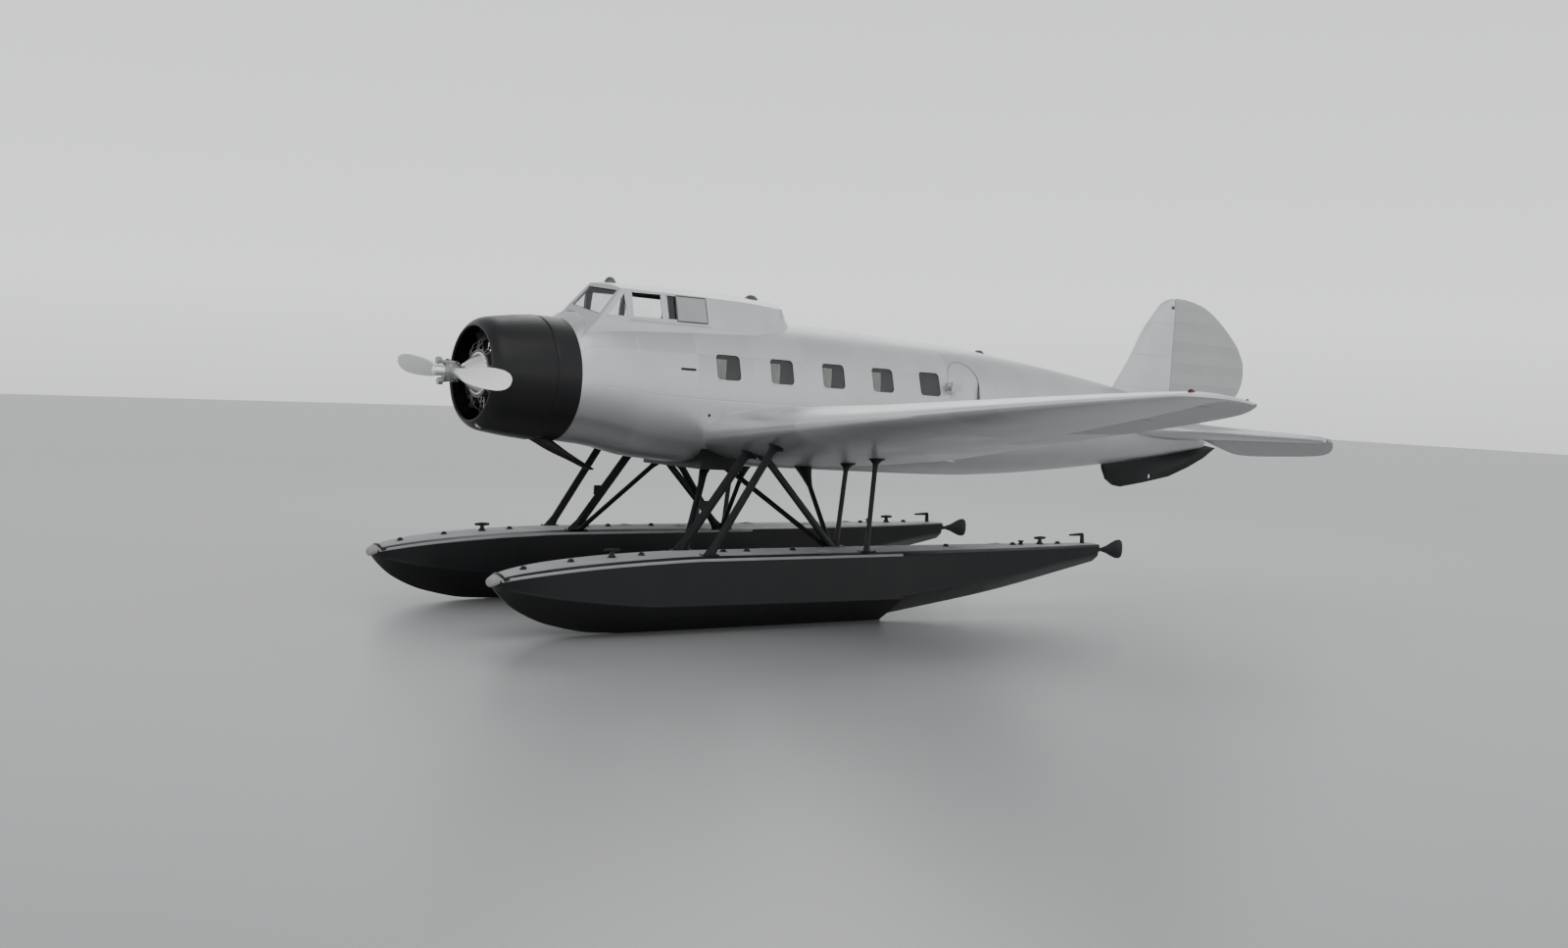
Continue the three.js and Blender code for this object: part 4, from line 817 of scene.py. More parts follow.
# Side slots: a narrow air slot ahead of the first cabin window, and two small round drains
# lower down, each in a raised pressed lip.
SLOT = (2.280, 2.480, 0.205, 0.227)
DRAINS = ((3.070, -0.300), (2.680, -0.300))
slot_outline = rounded_box((SLOT[0] + SLOT[1]) / 2, (SLOT[2] + SLOT[3]) / 2, SLOT[1] - SLOT[0],
                           SLOT[3] - SLOT[2], 0.010)
drain_outlines = [rounded_box(x, z, 0.032, 0.032, 0.0155) for x, z in DRAINS]
side_holes = [(sign, outline) for sign in (-1, 1) for outline in (slot_outline, *drain_outlines)]
hole_tools = gather("side_hole_tool", [
    [[(x, sign * (side_of_body(x, z) + 0.05), z) for x, z in outline],
     [(x, sign * side_of_body(x, z, -0.03), z) for x, z in outline]] for sign, outline in side_holes])
hole_tools.data.materials.append(cabin_dark)
carve(fuselage, hole_tools)
lips = gather("side_hole_lips",
              [rim_rings(outline, side_of_body, sign, 0.008, 0.003) for sign, outline in side_holes],
              caps=False)
fit(lips, made=worn_steel)

# Cockpit: two padded bucket seats on steel rails, an instrument board across the front and
# two control columns with spectacle wheels on one cross tube.
SEAT = {"x": 2.25, "y": 0.25, "z": 0.24}
CUSHIONS = [
    # name, lowest corner and highest corner about the seat's middle line
    ("base", (-0.225, -0.195, 0.03), (0.125, 0.195, 0.125)),
    ("back", (0.125, -0.195, 0.075), (0.205, 0.195, 0.552)),
]
STUFFING, MOST_SWELL, STUFFING_TIME = 4.0, 0.012, 20
BUCKET = {"half": 0.198, "pan": (-0.228, 0.132, 0.002, 0.032), "back": (0.200, 0.218, 0.002, 0.545),
          "rail": 0.145, "rail_half": 0.015, "rim": 0.197, "rim_radius": 0.009}
SIDES = (("port", -1), ("starboard", 1))


def vary_gloss(made, shader, noise, low, high):
    """Roughness that wavers from low to high with soft noise."""
    made.node_tree.links.new(ramp(made, mottle(made, *noise), 0.3, 0.7, low, high),
                             shader.inputs["Roughness"])


def dark_paint(name, colour, rough):
    made, shader = coat(name, colour, (7.0, 5.0), 0.75, 1.3, rough, grain=((160.0, 2.0), 0.0004))
    vary_gloss(made, shader, (11.0, 4.0), rough - 0.05, rough + 0.08)
    return made


def cushion(name, low, high):
    """A stuffed leather pad: a rounded block, blown up as cloth and then smoothed."""
    middle = [(a + b) / 2 for a, b in zip(low, high)]
    half = [(b - a) / 2 for a, b in zip(low, high)]
    bm = bmesh.new()
    bmesh.ops.create_cube(bm, size=2.0)
    bmesh.ops.scale(bm, vec=half, verts=bm.verts)
    bmesh.ops.bevel(bm, geom=bm.edges[:], offset=min(half) * 0.55, segments=4, profile=0.6, affect="EDGES")
    mesh = bpy.data.meshes.new(name)
    bm.to_mesh(mesh)
    bm.free()
    piece = put(name, mesh)
    fine = piece.modifiers.new("even", "REMESH")
    fine.mode, fine.voxel_size = "VOXEL", 0.006
    mesh = shape_of(piece)
    piece.modifiers.clear()
    piece.data = mesh
    cloth = piece.modifiers.new("stuffing", "CLOTH")
    cloth.settings.use_pressure = True
    cloth.settings.uniform_pressure_force = STUFFING
    cloth.settings.effector_weights.gravity = 0.0
    cloth.settings.tension_stiffness = 40
    cloth.settings.quality = 4
    cloth.point_cache.frame_start, cloth.point_cache.frame_end = 1, STUFFING_TIME
    rest = [v.co.copy() for v in mesh.vertices]
    for moment in range(1, STUFFING_TIME + 1):
        bpy.context.scene.frame_set(moment)
    mesh = shape_of(piece)
    bpy.context.scene.frame_set(1)
    for vertex, start in zip(mesh.vertices, rest):
        move = vertex.co - start
        if move.length > MOST_SWELL:
            vertex.co = start + move.normalized() * MOST_SWELL
    piece.modifiers.clear()
    piece.data = mesh
    smooth = piece.modifiers.new("smooth", "SUBSURF")
    smooth.levels = smooth.render_levels = 1
    piece.data.polygons.foreach_set("use_smooth", [True] * len(piece.data.polygons))
    for vertex in piece.data.vertices:
        vertex.co += Vector(middle)
    return piece


seat_leather, shader = coat("seat_leather_brown", (0.115, 0.062, 0.036), (22.0, 5.0), 0.72, 1.25, 0.52)
relief(seat_leather, shader, node(seat_leather, "ShaderNodeTexVoronoi", {"Scale": 260.0}).outputs["Distance"],
       0.0008)
rail_paint = dark_paint("seat_rail_grey", (0.06, 0.065, 0.065), 0.5)
for name, low, high in CUSHIONS:
    pattern = cushion(f"seat_{name}_pattern", low, high)
    bpy.context.view_layer.update()
    shape = shape_of(pattern)
    bpy.data.objects.remove(pattern)
    for side, sign in SIDES:
        pad = put(f"{side}_seat_{name}", shape.copy())
        pad.data.transform(AIRFRAME @ Matrix.Translation((SEAT["x"], sign * SEAT["y"], SEAT["z"])))
        pad.data.materials.append(seat_leather)
        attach(pad, "airframe")


def tube_rings(path, radius, sides=12):
    """Rings of a bent round tube along points."""
    path = [Vector(p) for p in path]
    rings, side = [], None
    for i, point in enumerate(path):
        along = (path[min(i + 1, len(path) - 1)] - path[max(i - 1, 0)]).normalized()
        side = along.orthogonal() if side is None else side - along * side.dot(along)
        side.normalize()
        other = along.cross(side)
        rings.append([tuple(point + (side * math.cos(t) + other * math.sin(t)) * radius)
                      for t in turns(sides)])
    return rings


for side, sign in SIDES:
    y, z, x = sign * SEAT["y"], SEAT["z"], SEAT["x"]
    bucket = [box_rings(x + fore, x + aft, y - BUCKET["half"], y + BUCKET["half"], z + low, z + high)
              for fore, aft, low, high in (BUCKET["pan"], BUCKET["back"])]
    for end in (-1, 1):
        rail, rim = y + end * BUCKET["rail"], y + end * BUCKET["rim"]
        bucket.append(box_rings(x - 0.2, x + 0.18, rail - BUCKET["rail_half"], rail + BUCKET["rail_half"],
                                WELL["floor"] + 0.001, z + 0.004))
        bucket.append(tube_rings([(x - 0.21, rim, z + 0.05), (x + 0.1, rim, z + 0.09),
                                  (x + 0.19, rim, z + 0.3), (x + 0.2, rim, z + 0.53)], BUCKET["rim_radius"]))
    fit(gather(f"{side}_seat_bucket", bucket), made=rail_paint, stands_for=f"{side}_seat")

SHARP_EDGE, WELD_REACH = math.radians(32), 0.00002
board_paint = dark_paint("board_crackle_black", (0.022, 0.023, 0.025), 0.55)
dial_face, _ = coat("dial_face", (0.03, 0.03, 0.032), (900.0,), 0.5, 1.6, 0.25)
dial_mark, _ = coat("dial_mark", (0.72, 0.71, 0.64), (40.0,), 0.85, 1.1, 0.5)


def smooth_group():
    """Nodes that shade a mesh smooth but for edges sharper than SHARP_EDGE."""
    group = bpy.data.node_groups.new("smooth_by_edge", "GeometryNodeTree")
    group.interface.new_socket("Geometry", in_out="INPUT", socket_type="NodeSocketGeometry")
    group.interface.new_socket("Geometry", in_out="OUTPUT", socket_type="NodeSocketGeometry")
    start, end = group.nodes.new("NodeGroupInput"), group.nodes.new("NodeGroupOutput")
    bare = group.nodes.new("GeometryNodeRemoveAttribute")
    bare.inputs["Name"].default_value = "custom_normal"
    whole, edges = (group.nodes.new("GeometryNodeSetShadeSmooth") for _ in range(2))
    edges.domain = "EDGE"
    edges.inputs["Shade Smooth"].default_value = False
    angle = group.nodes.new("GeometryNodeInputMeshEdgeAngle")
    sharp = group.nodes.new("FunctionNodeCompare")
    sharp.data_type, sharp.operation = "FLOAT", "GREATER_THAN"
    sharp.inputs[1].default_value = SHARP_EDGE
    for a, b in ((start.outputs[0], bare.inputs[0]), (bare.outputs[0], whole.inputs[0]),
                 (whole.outputs[0], edges.inputs[0]), (edges.outputs[0], end.inputs[0]),
                 (angle.outputs["Unsigned Angle"], sharp.inputs[0]),
                 (sharp.outputs[0], edges.inputs["Selection"])):
        group.links.new(a, b)
    return group


def dress(name, made):
    """Gives a solid that is shown as packed its finish, welded points and smooth shading."""
    piece = nodes[name]
    piece.data.materials.clear()
    piece.data.materials.append(made)
    group = bpy.data.node_groups.get("smooth_by_edge") or smooth_group()
    piece.modifiers.new("weld", "WELD").merge_threshold = WELD_REACH
    piece.modifiers.new("shade", "NODES").node_group = group


dress("instrument_board", board_paint)
dress("control_columns", board_paint)
DIALS = [
    # place across, height, radius
    *((y, 0.53, 0.040) for y in (-0.40, -0.30, -0.20, -0.10, 0.10, 0.20, 0.30, 0.40)),
    *((y, 0.43, 0.032) for y in (-0.36, -0.27, -0.18, 0.18, 0.27, 0.36)),
    (0.0, 0.50, 0.034), (0.0, 0.42, 0.03),
]
BOARD_FACE = 1.490
DIAL_FACE, NEEDLE = BOARD_FACE + 0.0112, BOARD_FACE + 0.012


def disc_rings(x0, x1, y, z, radius, rounding=0.0):
    return rod_rings((x0, y, z), (x1, y, z), radius, rounding=rounding, sides=28)


def mark_rings(x, y, z, t, inner, outer, thick, thin=None):
    """A mark on a dial, from one radius to another at one angle."""
    ends = [(x, y + math.cos(t) * r, z + math.sin(t) * r) for r in (inner, outer)]
    return rod_rings(*ends, thick, thin, sides=6)


bezels = gather("instrument_bezels",
                [disc_rings(BOARD_FACE - 0.002, BOARD_FACE + 0.010, y, z, r + 0.006, 0.002)
                 for y, z, r in DIALS])
fit(bezels, made=board_paint)
faces = gather("instrument_faces", [disc_rings(BOARD_FACE, DIAL_FACE, y, z, r) for y, z, r in DIALS])
fit(faces, made=dial_face)
marks = []
for y, z, r in DIALS:
    marks += [mark_rings(DIAL_FACE, y, z, t, r * 0.74, r * 0.92, 0.0011) for t in turns(10)]
    marks.append(mark_rings(NEEDLE, y, z, random.uniform(0, 2 * math.pi), 0.0, r * 0.7, 0.0016, 0.0006))
fit(gather("instrument_marks", marks), made=dial_mark)

# Cowling: a spun and riveted ring in gloss black with a rolled lip, then a short band that
# carries it back to the fuselage. Both are turned about the thrust line.
COWL = [(0.020, 0.521), (0.000, 0.534), (0.012, 0.562), (0.060, 0.606), (0.140, 0.638), (0.300, 0.664),
        (0.500, 0.690), (0.7060, 0.710), (0.710, 0.707), (0.710, 0.690), (0.300, 0.646), (0.140, 0.612),
        (0.060, 0.566), (0.020, 0.521)]
REAR_COWL = [(0.7103, 0.690), (0.7103, 0.6925), (0.7270, 0.694), (0.7340, 0.7015), (0.7480, 0.7065),
             (0.7600, 0.7075), (1.0250, 0.707), (1.0250, 0.685), (0.7103, 0.690)]
COWL_SIDES, COWL_GIRTH = 120, 2 * math.pi * 0.70


def flowing(points, steps=6):
    """More points on a smooth curve through those given."""
    found = []
    for i in range(len(points) - 1):
        p0, p1, p2, p3 = (points[min(max(i + k, 0), len(points) - 1)] for k in (-1, 0, 1, 2))
        for s in range(steps):
            t = s / steps
            found.append(tuple(
                0.5 * (2 * b + (c - a) * t + (2 * a - 5 * b + 4 * c - d) * t * t
                       + (3 * b - a - 3 * c + d) * t ** 3)
                for a, b, c, d in zip(p0, p1, p2, p3)))
    return found + [points[-1]]


def turned_rings(rows, sides=COWL_SIDES):
    """Rings turned about the thrust line from rows of place along it and radius."""
    return [[(x, r * math.cos(t), r * math.sin(t)) for t in turns(sides)] for x, r in rows]


def gloss_paint(name, colour, rough, seams, rivet=(0.02, 0.05, 0.006), heads=0.35):
    """Gloss enamel over sheet metal, with joints and small round heads along them."""
    made, shader = coat(name, colour, (2.5, 3.0), 0.8, 1.25, rough)
    total, _ = seam_heights(made, *metre_map(made), seams, 0.004, rivet, heads)
    relief(made, shader,
           math_node(made, "ADD", total, math_node(made, "MULTIPLY", mottle(made, 2.5, 1.0), 0.6)), 0.001)
    vary_gloss(made, shader, (4.0, 3.0), rough - 0.03, rough + 0.05)
    shader.inputs["Specular IOR Level"].default_value = 0.32
    return made


cowl_black = gloss_paint("cowl_enamel_black", (0.011, 0.011, 0.012), 0.34, (0.709, COWL_GIRTH / 6))
bright, shader = coat("bright_alloy_polished", (0.86, 0.86, 0.85), (3.0, 1.0), 0.92, 1.06, 0.3, 1.0,
                      ((9.0, 1.0), 0.0002))
vary_gloss(bright, shader, (6.0, 2.0), 0.285, 0.35)

lip = flowing(COWL[:6], 8)[:-1]
wall = flowing(COWL[5:8], 6)
inner_wall = flowing(COWL[9:13], 5)
ring_rows = [*lip, *wall, COWL[8], *inner_wall]
cowl = skin("cowl_ring_spun", turned_rings([*ring_rows, COWL[0]]), caps=False,
            uv=lambda i, j, p: (p[0], j / COWL_SIDES * COWL_GIRTH))
fit(cowl, made=cowl_black, stands_for="cowl_ring")
rear_band = skin("rear_cowl_band", turned_rings(REAR_COWL), caps=False,
                 uv=lambda i, j, p: (p[0] - REAR_COWL[0][0] + 0.004, j / COWL_SIDES * COWL_GIRTH))
fit(rear_band, made=cowl_black, stands_for="rear_cowl")
# A small bright clip closes the ring at the bottom, just behind its lip
clip = gather("cowl_clip",
              [rod_rings((0.028, -0.140, -0.562), (0.092, -0.146, -0.602), 0.012, rounding=0.003),
               rod_rings((0.058, -0.162, -0.578), (0.058, -0.122, -0.588), 0.015, rounding=0.003)])
fit(clip, made=bright)

# Engine: nine air-cooled cylinders round an alloy crankcase. Each barrel and head carries
# thin cooling fins, two rocker boxes with bright pushrod tubes, and two ignition leads.
CYLINDERS = 9
CYLINDER_X = 0.33
CRANKCASE = [(0.120, 0.001), (0.120, 0.250), (0.210, 0.262), (0.450, 0.262), (0.520, 0.300), (1.020, 0.300),
             (1.020, 0.001)]
NOSE_CASE = [(-0.105, 0.064), (-0.105, 0.088), (-0.094, 0.098), (-0.060, 0.120), (-0.02, 0.150),
             (0.060, 0.205), (0.082, 0.222), (0.084, 0.240), (0.112, 0.246), (0.121, 0.240)]
FIN_PITCH, FIN_THICK = 0.0095, 0.0028
BARREL_FOOT = [(0.235, 0.086), (0.262, 0.086), (0.262, 0.064)]
HEAD_CROWN = [(0.600, 0.060), (0.603, 0.001)]
ROCKER_BOX = [(0.0, 0.028), (0.03, 0.033), (0.068, 0.033), (0.070, 0.037), (0.078, 0.037), (0.080, 0.030),
              (0.090, 0.022), (0.093, 0.001)]
CASE_STUD = [(0.24, 0.012), (0.272, 0.012), (0.276, 0.009)]
CASE_STUDS, STUD_ROWS = 18, (0.49, 0.165)
NOSE_BOLTS, NOSE_BOLT_RADIUS = 24, 0.231
RING_X, RING_RADIUS = 0.09, 0.262


def spun_rings(origin, direction, rows, sides=24):
    """Rings about a line from rows of distance along it and radius."""
    origin, direction = Vector(origin), Vector(direction).normalized()
    side = direction.orthogonal().normalized()
    other = direction.cross(side)
    return [[tuple(origin + direction * d + (side * math.cos(t) + other * math.sin(t)) * r)
             for t in turns(sides)] for d, r in rows]


def finned(start, end, core, radius, end_radius):
    """Rows of a finned barrel: core diameter between thin fins of the outer diameter."""
    rows, count = [(start, core)], int((end - start) / FIN_PITCH)
    for k in range(count):
        at = start + 0.004 + k * FIN_PITCH
        out = radius + (end_radius - radius) * k / count
        rows += [(at, core), (at, out), (at + FIN_THICK, out), (at + FIN_THICK, core)]
    return rows + [(end, core)]


barrels, heads, tubes, leads = [], [], [], []
for number in range(CYLINDERS):
    t = math.pi / 2 + number * 2 * math.pi / CYLINDERS
    out = Vector((0, math.cos(t), math.sin(t)))
    beside = Vector((0, -math.sin(t), math.cos(t)))
    base = Vector((CYLINDER_X, 0, 0))
    barrels.append(spun_rings(base, out, BARREL_FOOT + finned(0.266, 0.468, 0.062, 0.074, 0.076)))
    heads.append(spun_rings(base, out, finned(0.470, 0.590, 0.070, 0.092, 0.076) + HEAD_CROWN))
    for hand in (-1, 1):
        foot = base + out * 0.245 + beside * hand * 0.034 + Vector((-0.115, 0, 0))
        top_end = base + out * 0.585 + beside * hand * 0.060 + Vector((-0.068, 0, 0))
        tubes.append(rod_rings(foot, top_end, 0.010, sides=14))
        tubes.append(rod_rings(foot - out * 0.004, foot + out * 0.030, 0.016, 0.013, rounding=0.002,
                               sides=14))
        box_foot = base + out * 0.560 + beside * hand * 0.050 + Vector((-0.040, 0, 0))
        heads.append(spun_rings(box_foot, out + beside * hand * 0.05, ROCKER_BOX, 20))
        start = Vector((0.085, 0, 0)) + out * 0.246 + beside * hand * 0.02
        end = base + out * 0.515 + beside * hand * 0.082 + Vector((-0.03, 0, 0))
        leads.append(tube_rings([tuple(start), tuple(start + out * 0.04 + Vector((-0.012, 0, 0))),
                                 tuple(start + out * 0.13 + Vector((0.03, 0, 0)) + beside * hand * 0.02),
                                 tuple(end - out * 0.05 + Vector((-0.05, 0, 0))),
                                 tuple(end + Vector((-0.035, 0, 0))), tuple(end)], 0.0055, 10))
        tubes.append(rod_rings(end + Vector((-0.045, 0, 0)), end + Vector((0.0, 0, 0)), 0.009, rounding=0.002,
                               sides=12))
crankcase_grey = dark_paint("crankcase_grey", (0.105, 0.110, 0.115), 0.42)
fin_steel = dark_paint("cylinder_fin_black", (0.045, 0.046, 0.048), 0.5)
lead_braid = dark_paint("ignition_lead_braid", (0.22, 0.20, 0.17), 0.45)
crankcase = gather("engine_crankcase", [turned_rings(CRANKCASE, 72), *(
    spun_rings((STUD_ROWS[k % 2], 0, 0), (0, math.cos(a), math.sin(a)), CASE_STUD, 12)
    for k, a in enumerate(turns(CASE_STUDS)))])
fit(crankcase, made=crankcase_grey, stands_for="engine")
nose_case = gather("engine_nose_case", [turned_rings(NOSE_CASE, 72), *(
    rod_rings(*((x, math.cos(a) * NOSE_BOLT_RADIUS, math.sin(a) * NOSE_BOLT_RADIUS) for x in (0.074, 0.093)),
              0.007, rounding=0.0015, sides=6) for a in turns(NOSE_BOLTS))])
fit(nose_case, made=bright)
harness = gather("ignition_harness", [tube_rings(
    [(RING_X, math.cos(a) * RING_RADIUS, math.sin(a) * RING_RADIUS) for a in [*turns(60), 2 * math.pi]],
    0.011, 12)]
    + leads)
fit(harness, made=lead_braid)
for name, many, made, slot in (("cylinder_barrels", barrels, fin_steel, "engine_grey"),
                               ("cylinder_heads", heads, crankcase_grey, "engine_grey"),
                               ("pushrod_tubes", tubes, bright, "bright_alloy")):
    fit(gather(name, many), made=made)

# Propeller: two forged alloy paddle blades clamped in a steel barrel, with the pitch
# cylinder in front and a counterweight arm beside each blade root.
PROP_X, PROP_TILT = -0.233, math.radians(3.3)
BLADE = [
    # radius, chord, thickness, twist from the disc in degrees
    (0.126, 0.104, 0.104, 40), (0.200, 0.108, 0.096, 38), (0.300, 0.142, 0.074, 35),
    (0.460, 0.196, 0.050, 31), (0.700, 0.236, 0.034, 25), (0.950, 0.246, 0.025, 21),
    (1.180, 0.232, 0.018, 18), (1.340, 0.186, 0.013, 16), (1.420, 0.128, 0.010, 15),
    (1.448, 0.086, 0.008, 15), (1.460, 0.040, 0.005, 15), (1.4615, 0.010, 0.003, 15),
]
BLADE_POINTS = 40
HUB_BARREL = [(-0.096, 0.001), (-0.096, 0.086), (-0.092, 0.092), (-0.064, 0.114), (-0.056, 0.118),
              (0.056, 0.118), (0.066, 0.114), (0.092, 0.088), (0.092, 0.001)]
HUB_SHAFT = [(0.080, 0.001), (0.080, 0.062), (0.1277, 0.062), (0.1277, 0.001)]
BLADE_SOCKET = [(0.06, 0.078), (0.100, 0.074), (0.102, 0.079), (0.1255, 0.076), (0.1257, 0.001)]
PITCH_CYLINDER = [(-0.217, 0.001), (-0.217, 0.036), (-0.214, 0.043), (-0.205, 0.054), (-0.200, 0.056),
                  (-0.108, 0.0575), (-0.106, 0.066), (-0.094, 0.066), (-0.090, 0.001)]
CYLINDER_NUT = [(-0.224, 0.001), (-0.224, 0.017), (-0.221, 0.020), (-0.212, 0.020)]
propeller_place = AIRFRAME @ Matrix.Translation((PROP_X, 0, 0)) @ Matrix.Rotation(PROP_TILT, 4, "X")


def blade_ring(r):
    chord, thick, twist = fair(BLADE, r)
    turn_by = math.radians(twist)
    slim = max(0.0, min(1.0, (r - 0.2) / 0.3))
    ring = []
    for t in turns(BLADE_POINTS):
        u = math.cos(t) * chord / 2
        bow = slim * (chord * 0.012) * (1 - (2 * u / chord) ** 2)
        v = math.sin(t) * thick / 2 * (1 - slim * 0.25 * math.cos(t) ** 2) + bow
        ring.append((v * math.cos(turn_by) - u * math.sin(turn_by), r,
                     v * math.sin(turn_by) + u * math.cos(turn_by)))
    return ring


blade_radii = [*spaced(0.126, 1.34, 0.03), *spaced(1.34, 1.448, 0.012)[1:], 1.455, 1.460, 1.4615]
for number, turn_by in ((1, math.pi), (2, 0.0)):
    blade = skin(f"propeller_blade_{number}_forged", [blade_ring(r) for r in blade_radii],
                 propeller_place @ Matrix.Rotation(turn_by, 4, "X"))
    fit(blade, "propeller", bright, f"propeller_blade_{number}")
clamps = [turned_rings(HUB_BARREL, 64), turned_rings(HUB_SHAFT, 48)]
for hand in (-1, 1):
    clamps.append(spun_rings((0, 0, 0), (0, hand, 0), BLADE_SOCKET, 48))
    # The counterweight on its arm, and the bolts of the barrel
    clamps.append(rod_rings((-0.070, hand * 0.020, hand * 0.095), (-0.140, hand * 0.034, hand * 0.112), 0.024,
                            0.020, sides=20))
    clamps.append(rod_rings((-0.175, hand * 0.036, hand * 0.112), (-0.120, hand * 0.036, hand * 0.112), 0.040,
                            rounding=0.004, sides=32))
    clamps += [rod_rings((-0.030 + k * 0.060, hand * 0.085, s * 0.088),
                         (-0.018 + k * 0.060, hand * 0.085, s * 0.104),
                         0.007, rounding=0.001, sides=6) for k in (0, 1) for s in (-1, 1)]
barrel_steel, _ = coat("hub_barrel_steel", (0.33, 0.335, 0.34), (14.0, 4.0), 0.8, 1.2, 0.36, 0.85,
                       ((60.0, 2.0), 0.0002))
clamps = gather("propeller_hub_barrel", clamps, propeller_place)
fit(clamps, "propeller", barrel_steel, "propeller_hub")
cylinder = gather("propeller_pitch_cylinder",
                  [turned_rings(PITCH_CYLINDER, 48), turned_rings(CYLINDER_NUT, 6)], propeller_place)
fit(cylinder, "propeller", bright)

# Exhaust: one welded steel pipe from the collector that flattens into a fishtail under the
# belly. Heat has dulled and darkened it, most of all towards its open end.
EXHAUST = [
    # x, z, half width across, half height
    (0.690, -0.600, 0.072, 0.072), (0.900, -0.700, 0.072, 0.072), (1.060, -0.785, 0.082, 0.060),
    (1.260, -0.880, 0.105, 0.038), (1.540, -1.008, 0.128, 0.016),
]
EXHAUST_Y = -0.06
PIPE_WALL = 0.003
PIPE_BORE = (1.54, 1.50, 1.40, 1.20)
BURNT_STOPS = ((0.050, 0.046, 0.043, 1), (0.034, 0.029, 0.027, 1), (0.018, 0.017, 0.016, 1))
burnt, shader = finish("burnt_exhaust_steel")
along, _ = metre_map(burnt)
heat = math_node(burnt, "ADD", ramp(burnt, along, 0.9, 1.54),
                 math_node(burnt, "MULTIPLY", mottle(burnt, 12.0, 6.0), 0.5))
darkened = node(burnt, "ShaderNodeValToRGB", {0: heat})
stops = darkened.color_ramp.elements
stops.new(0.55)
for stop, colour in zip(stops, BURNT_STOPS):
    stop.color = colour
burnt.node_tree.links.new(darkened.outputs[0], shader.inputs["Base Color"])
relief(burnt, shader, mottle(burnt, 60.0, 5.0), 0.001)
shader.inputs["Metallic"].default_value = 0.6
shader.inputs["Roughness"].default_value = 0.6


def exhaust_ring(x, wall=0.0, sides=48):
    z, wide, high = fair(EXHAUST, x)
    slope = math.atan2(EXHAUST[-1][1] - EXHAUST[1][1], EXHAUST[-1][0] - EXHAUST[1][0])
    ring = []
    for t in turns(sides):
        up = math.sin(t) * (high - wall)
        ring.append((x - up * math.sin(slope), EXHAUST_Y + math.cos(t) * (wide - wall),
                     z + up * math.cos(slope)))
    return ring


pipe = skin("exhaust_pipe", [exhaust_ring(x) for x in spaced(EXHAUST[0][0], EXHAUST[-1][0], 0.03)]
            + [exhaust_ring(x, PIPE_WALL) for x in PIPE_BORE])
fit(pipe, made=burnt, stands_for="exhaust")

# Wings: stressed aluminium skins over close ribs, in a root stub faired into the fuselage
# and an outer panel bolted to it. One table of sections gives both.
WING = [
    # span station, leading edge x, trailing edge x, thickness share, droop towards the tip
    (0.150, 2.640, 6.330, 0.180, 0.0), (1.000, 2.650, 6.200, 0.180, 0.0), (2.000, 2.680, 5.930, 0.170, 0.0),
    (3.100, 2.730, 5.630, 0.150, 0.0), (4.700, 2.775, 5.195, 0.128, 0.0), (6.000, 2.870, 4.860, 0.112, 0.0),
    (7.100, 3.030, 4.500, 0.100, 0.0), (7.550, 3.130, 4.200, 0.095, 0.0),
    (7.850, 3.280, 3.890, 0.090, -0.025), (8.010, 3.430, 3.680, 0.085, -0.055),
    (8.068, 3.530, 3.595, 0.080, -0.078),
]
WING_ROOT, WING_BREAK, WING_TIP = 0.55, 2.15, 8.068
TIP_BEND, TIP_END = 7.4, 7.95        # stations stand closer from the first, and closest from the second
INCIDENCE = math.radians(2.8)
CAMBER, CAMBER_AT = 0.02, 0.4
CHORD_STEPS = 26
DIHEDRAL, FLAT_SPAN, MEAN_HEIGHT = 0.103, 0.65, -0.390
TRAILING_EDGE = 0.008


def wing_at(span):
    lead, trail, thick, droop = fair(WING, span)
    return lead, trail, thick, MEAN_HEIGHT + DIHEDRAL * (max(span, FLAT_SPAN) - 2.0) + droop


def aerofoil(thick, chord):
    """Points round a section of unit chord, from the trailing edge over the top and back below."""
    upper, lower = [], []
    for i in range(CHORD_STEPS + 1):
        x = (1 - math.cos(i / CHORD_STEPS * math.pi)) / 2
        half = 5 * thick * (0.2969 * math.sqrt(x) - 0.126 * x - 0.3516 * x ** 2 + 0.2843 * x ** 3
                            - 0.1036 * x ** 4)
        half += TRAILING_EDGE / 2 / chord * x
        fore = CAMBER / CAMBER_AT ** 2 * (2 * CAMBER_AT * x - x * x)
        aft = CAMBER / (1 - CAMBER_AT) ** 2 * (1 - 2 * CAMBER_AT + 2 * CAMBER_AT * x - x * x)
        line = fore if x < CAMBER_AT else aft
        upper.append((x, line + half))
        if i:
            lower.append((x, line - half))
    return upper[::-1] + lower


def wing_ring(span, sign):
    lead, trail, thick, z = wing_at(span)
    chord = trail - lead
    return [(lead + u * chord * math.cos(INCIDENCE) + v * chord * math.sin(INCIDENCE), sign * span,
             z - u * chord * math.sin(INCIDENCE) + v * chord * math.cos(INCIDENCE))
            for u, v in aerofoil(thick, chord)]


def wing_skin(name, start, end, sign, made):
    stations = spaced(start, min(end, TIP_BEND), 0.1)
    if end > TIP_BEND:
        stations += spaced(TIP_BEND, TIP_END, 0.05)[1:] + spaced(TIP_END, end, 0.0148)[1:]
    piece = skin(name, [wing_ring(span, sign) for span in stations],
                 uv=lambda i, j, p: (p[0] - fair(WING, abs(p[1]))[0], abs(p[1])))
    piece.data.materials.append(made)
    return piece


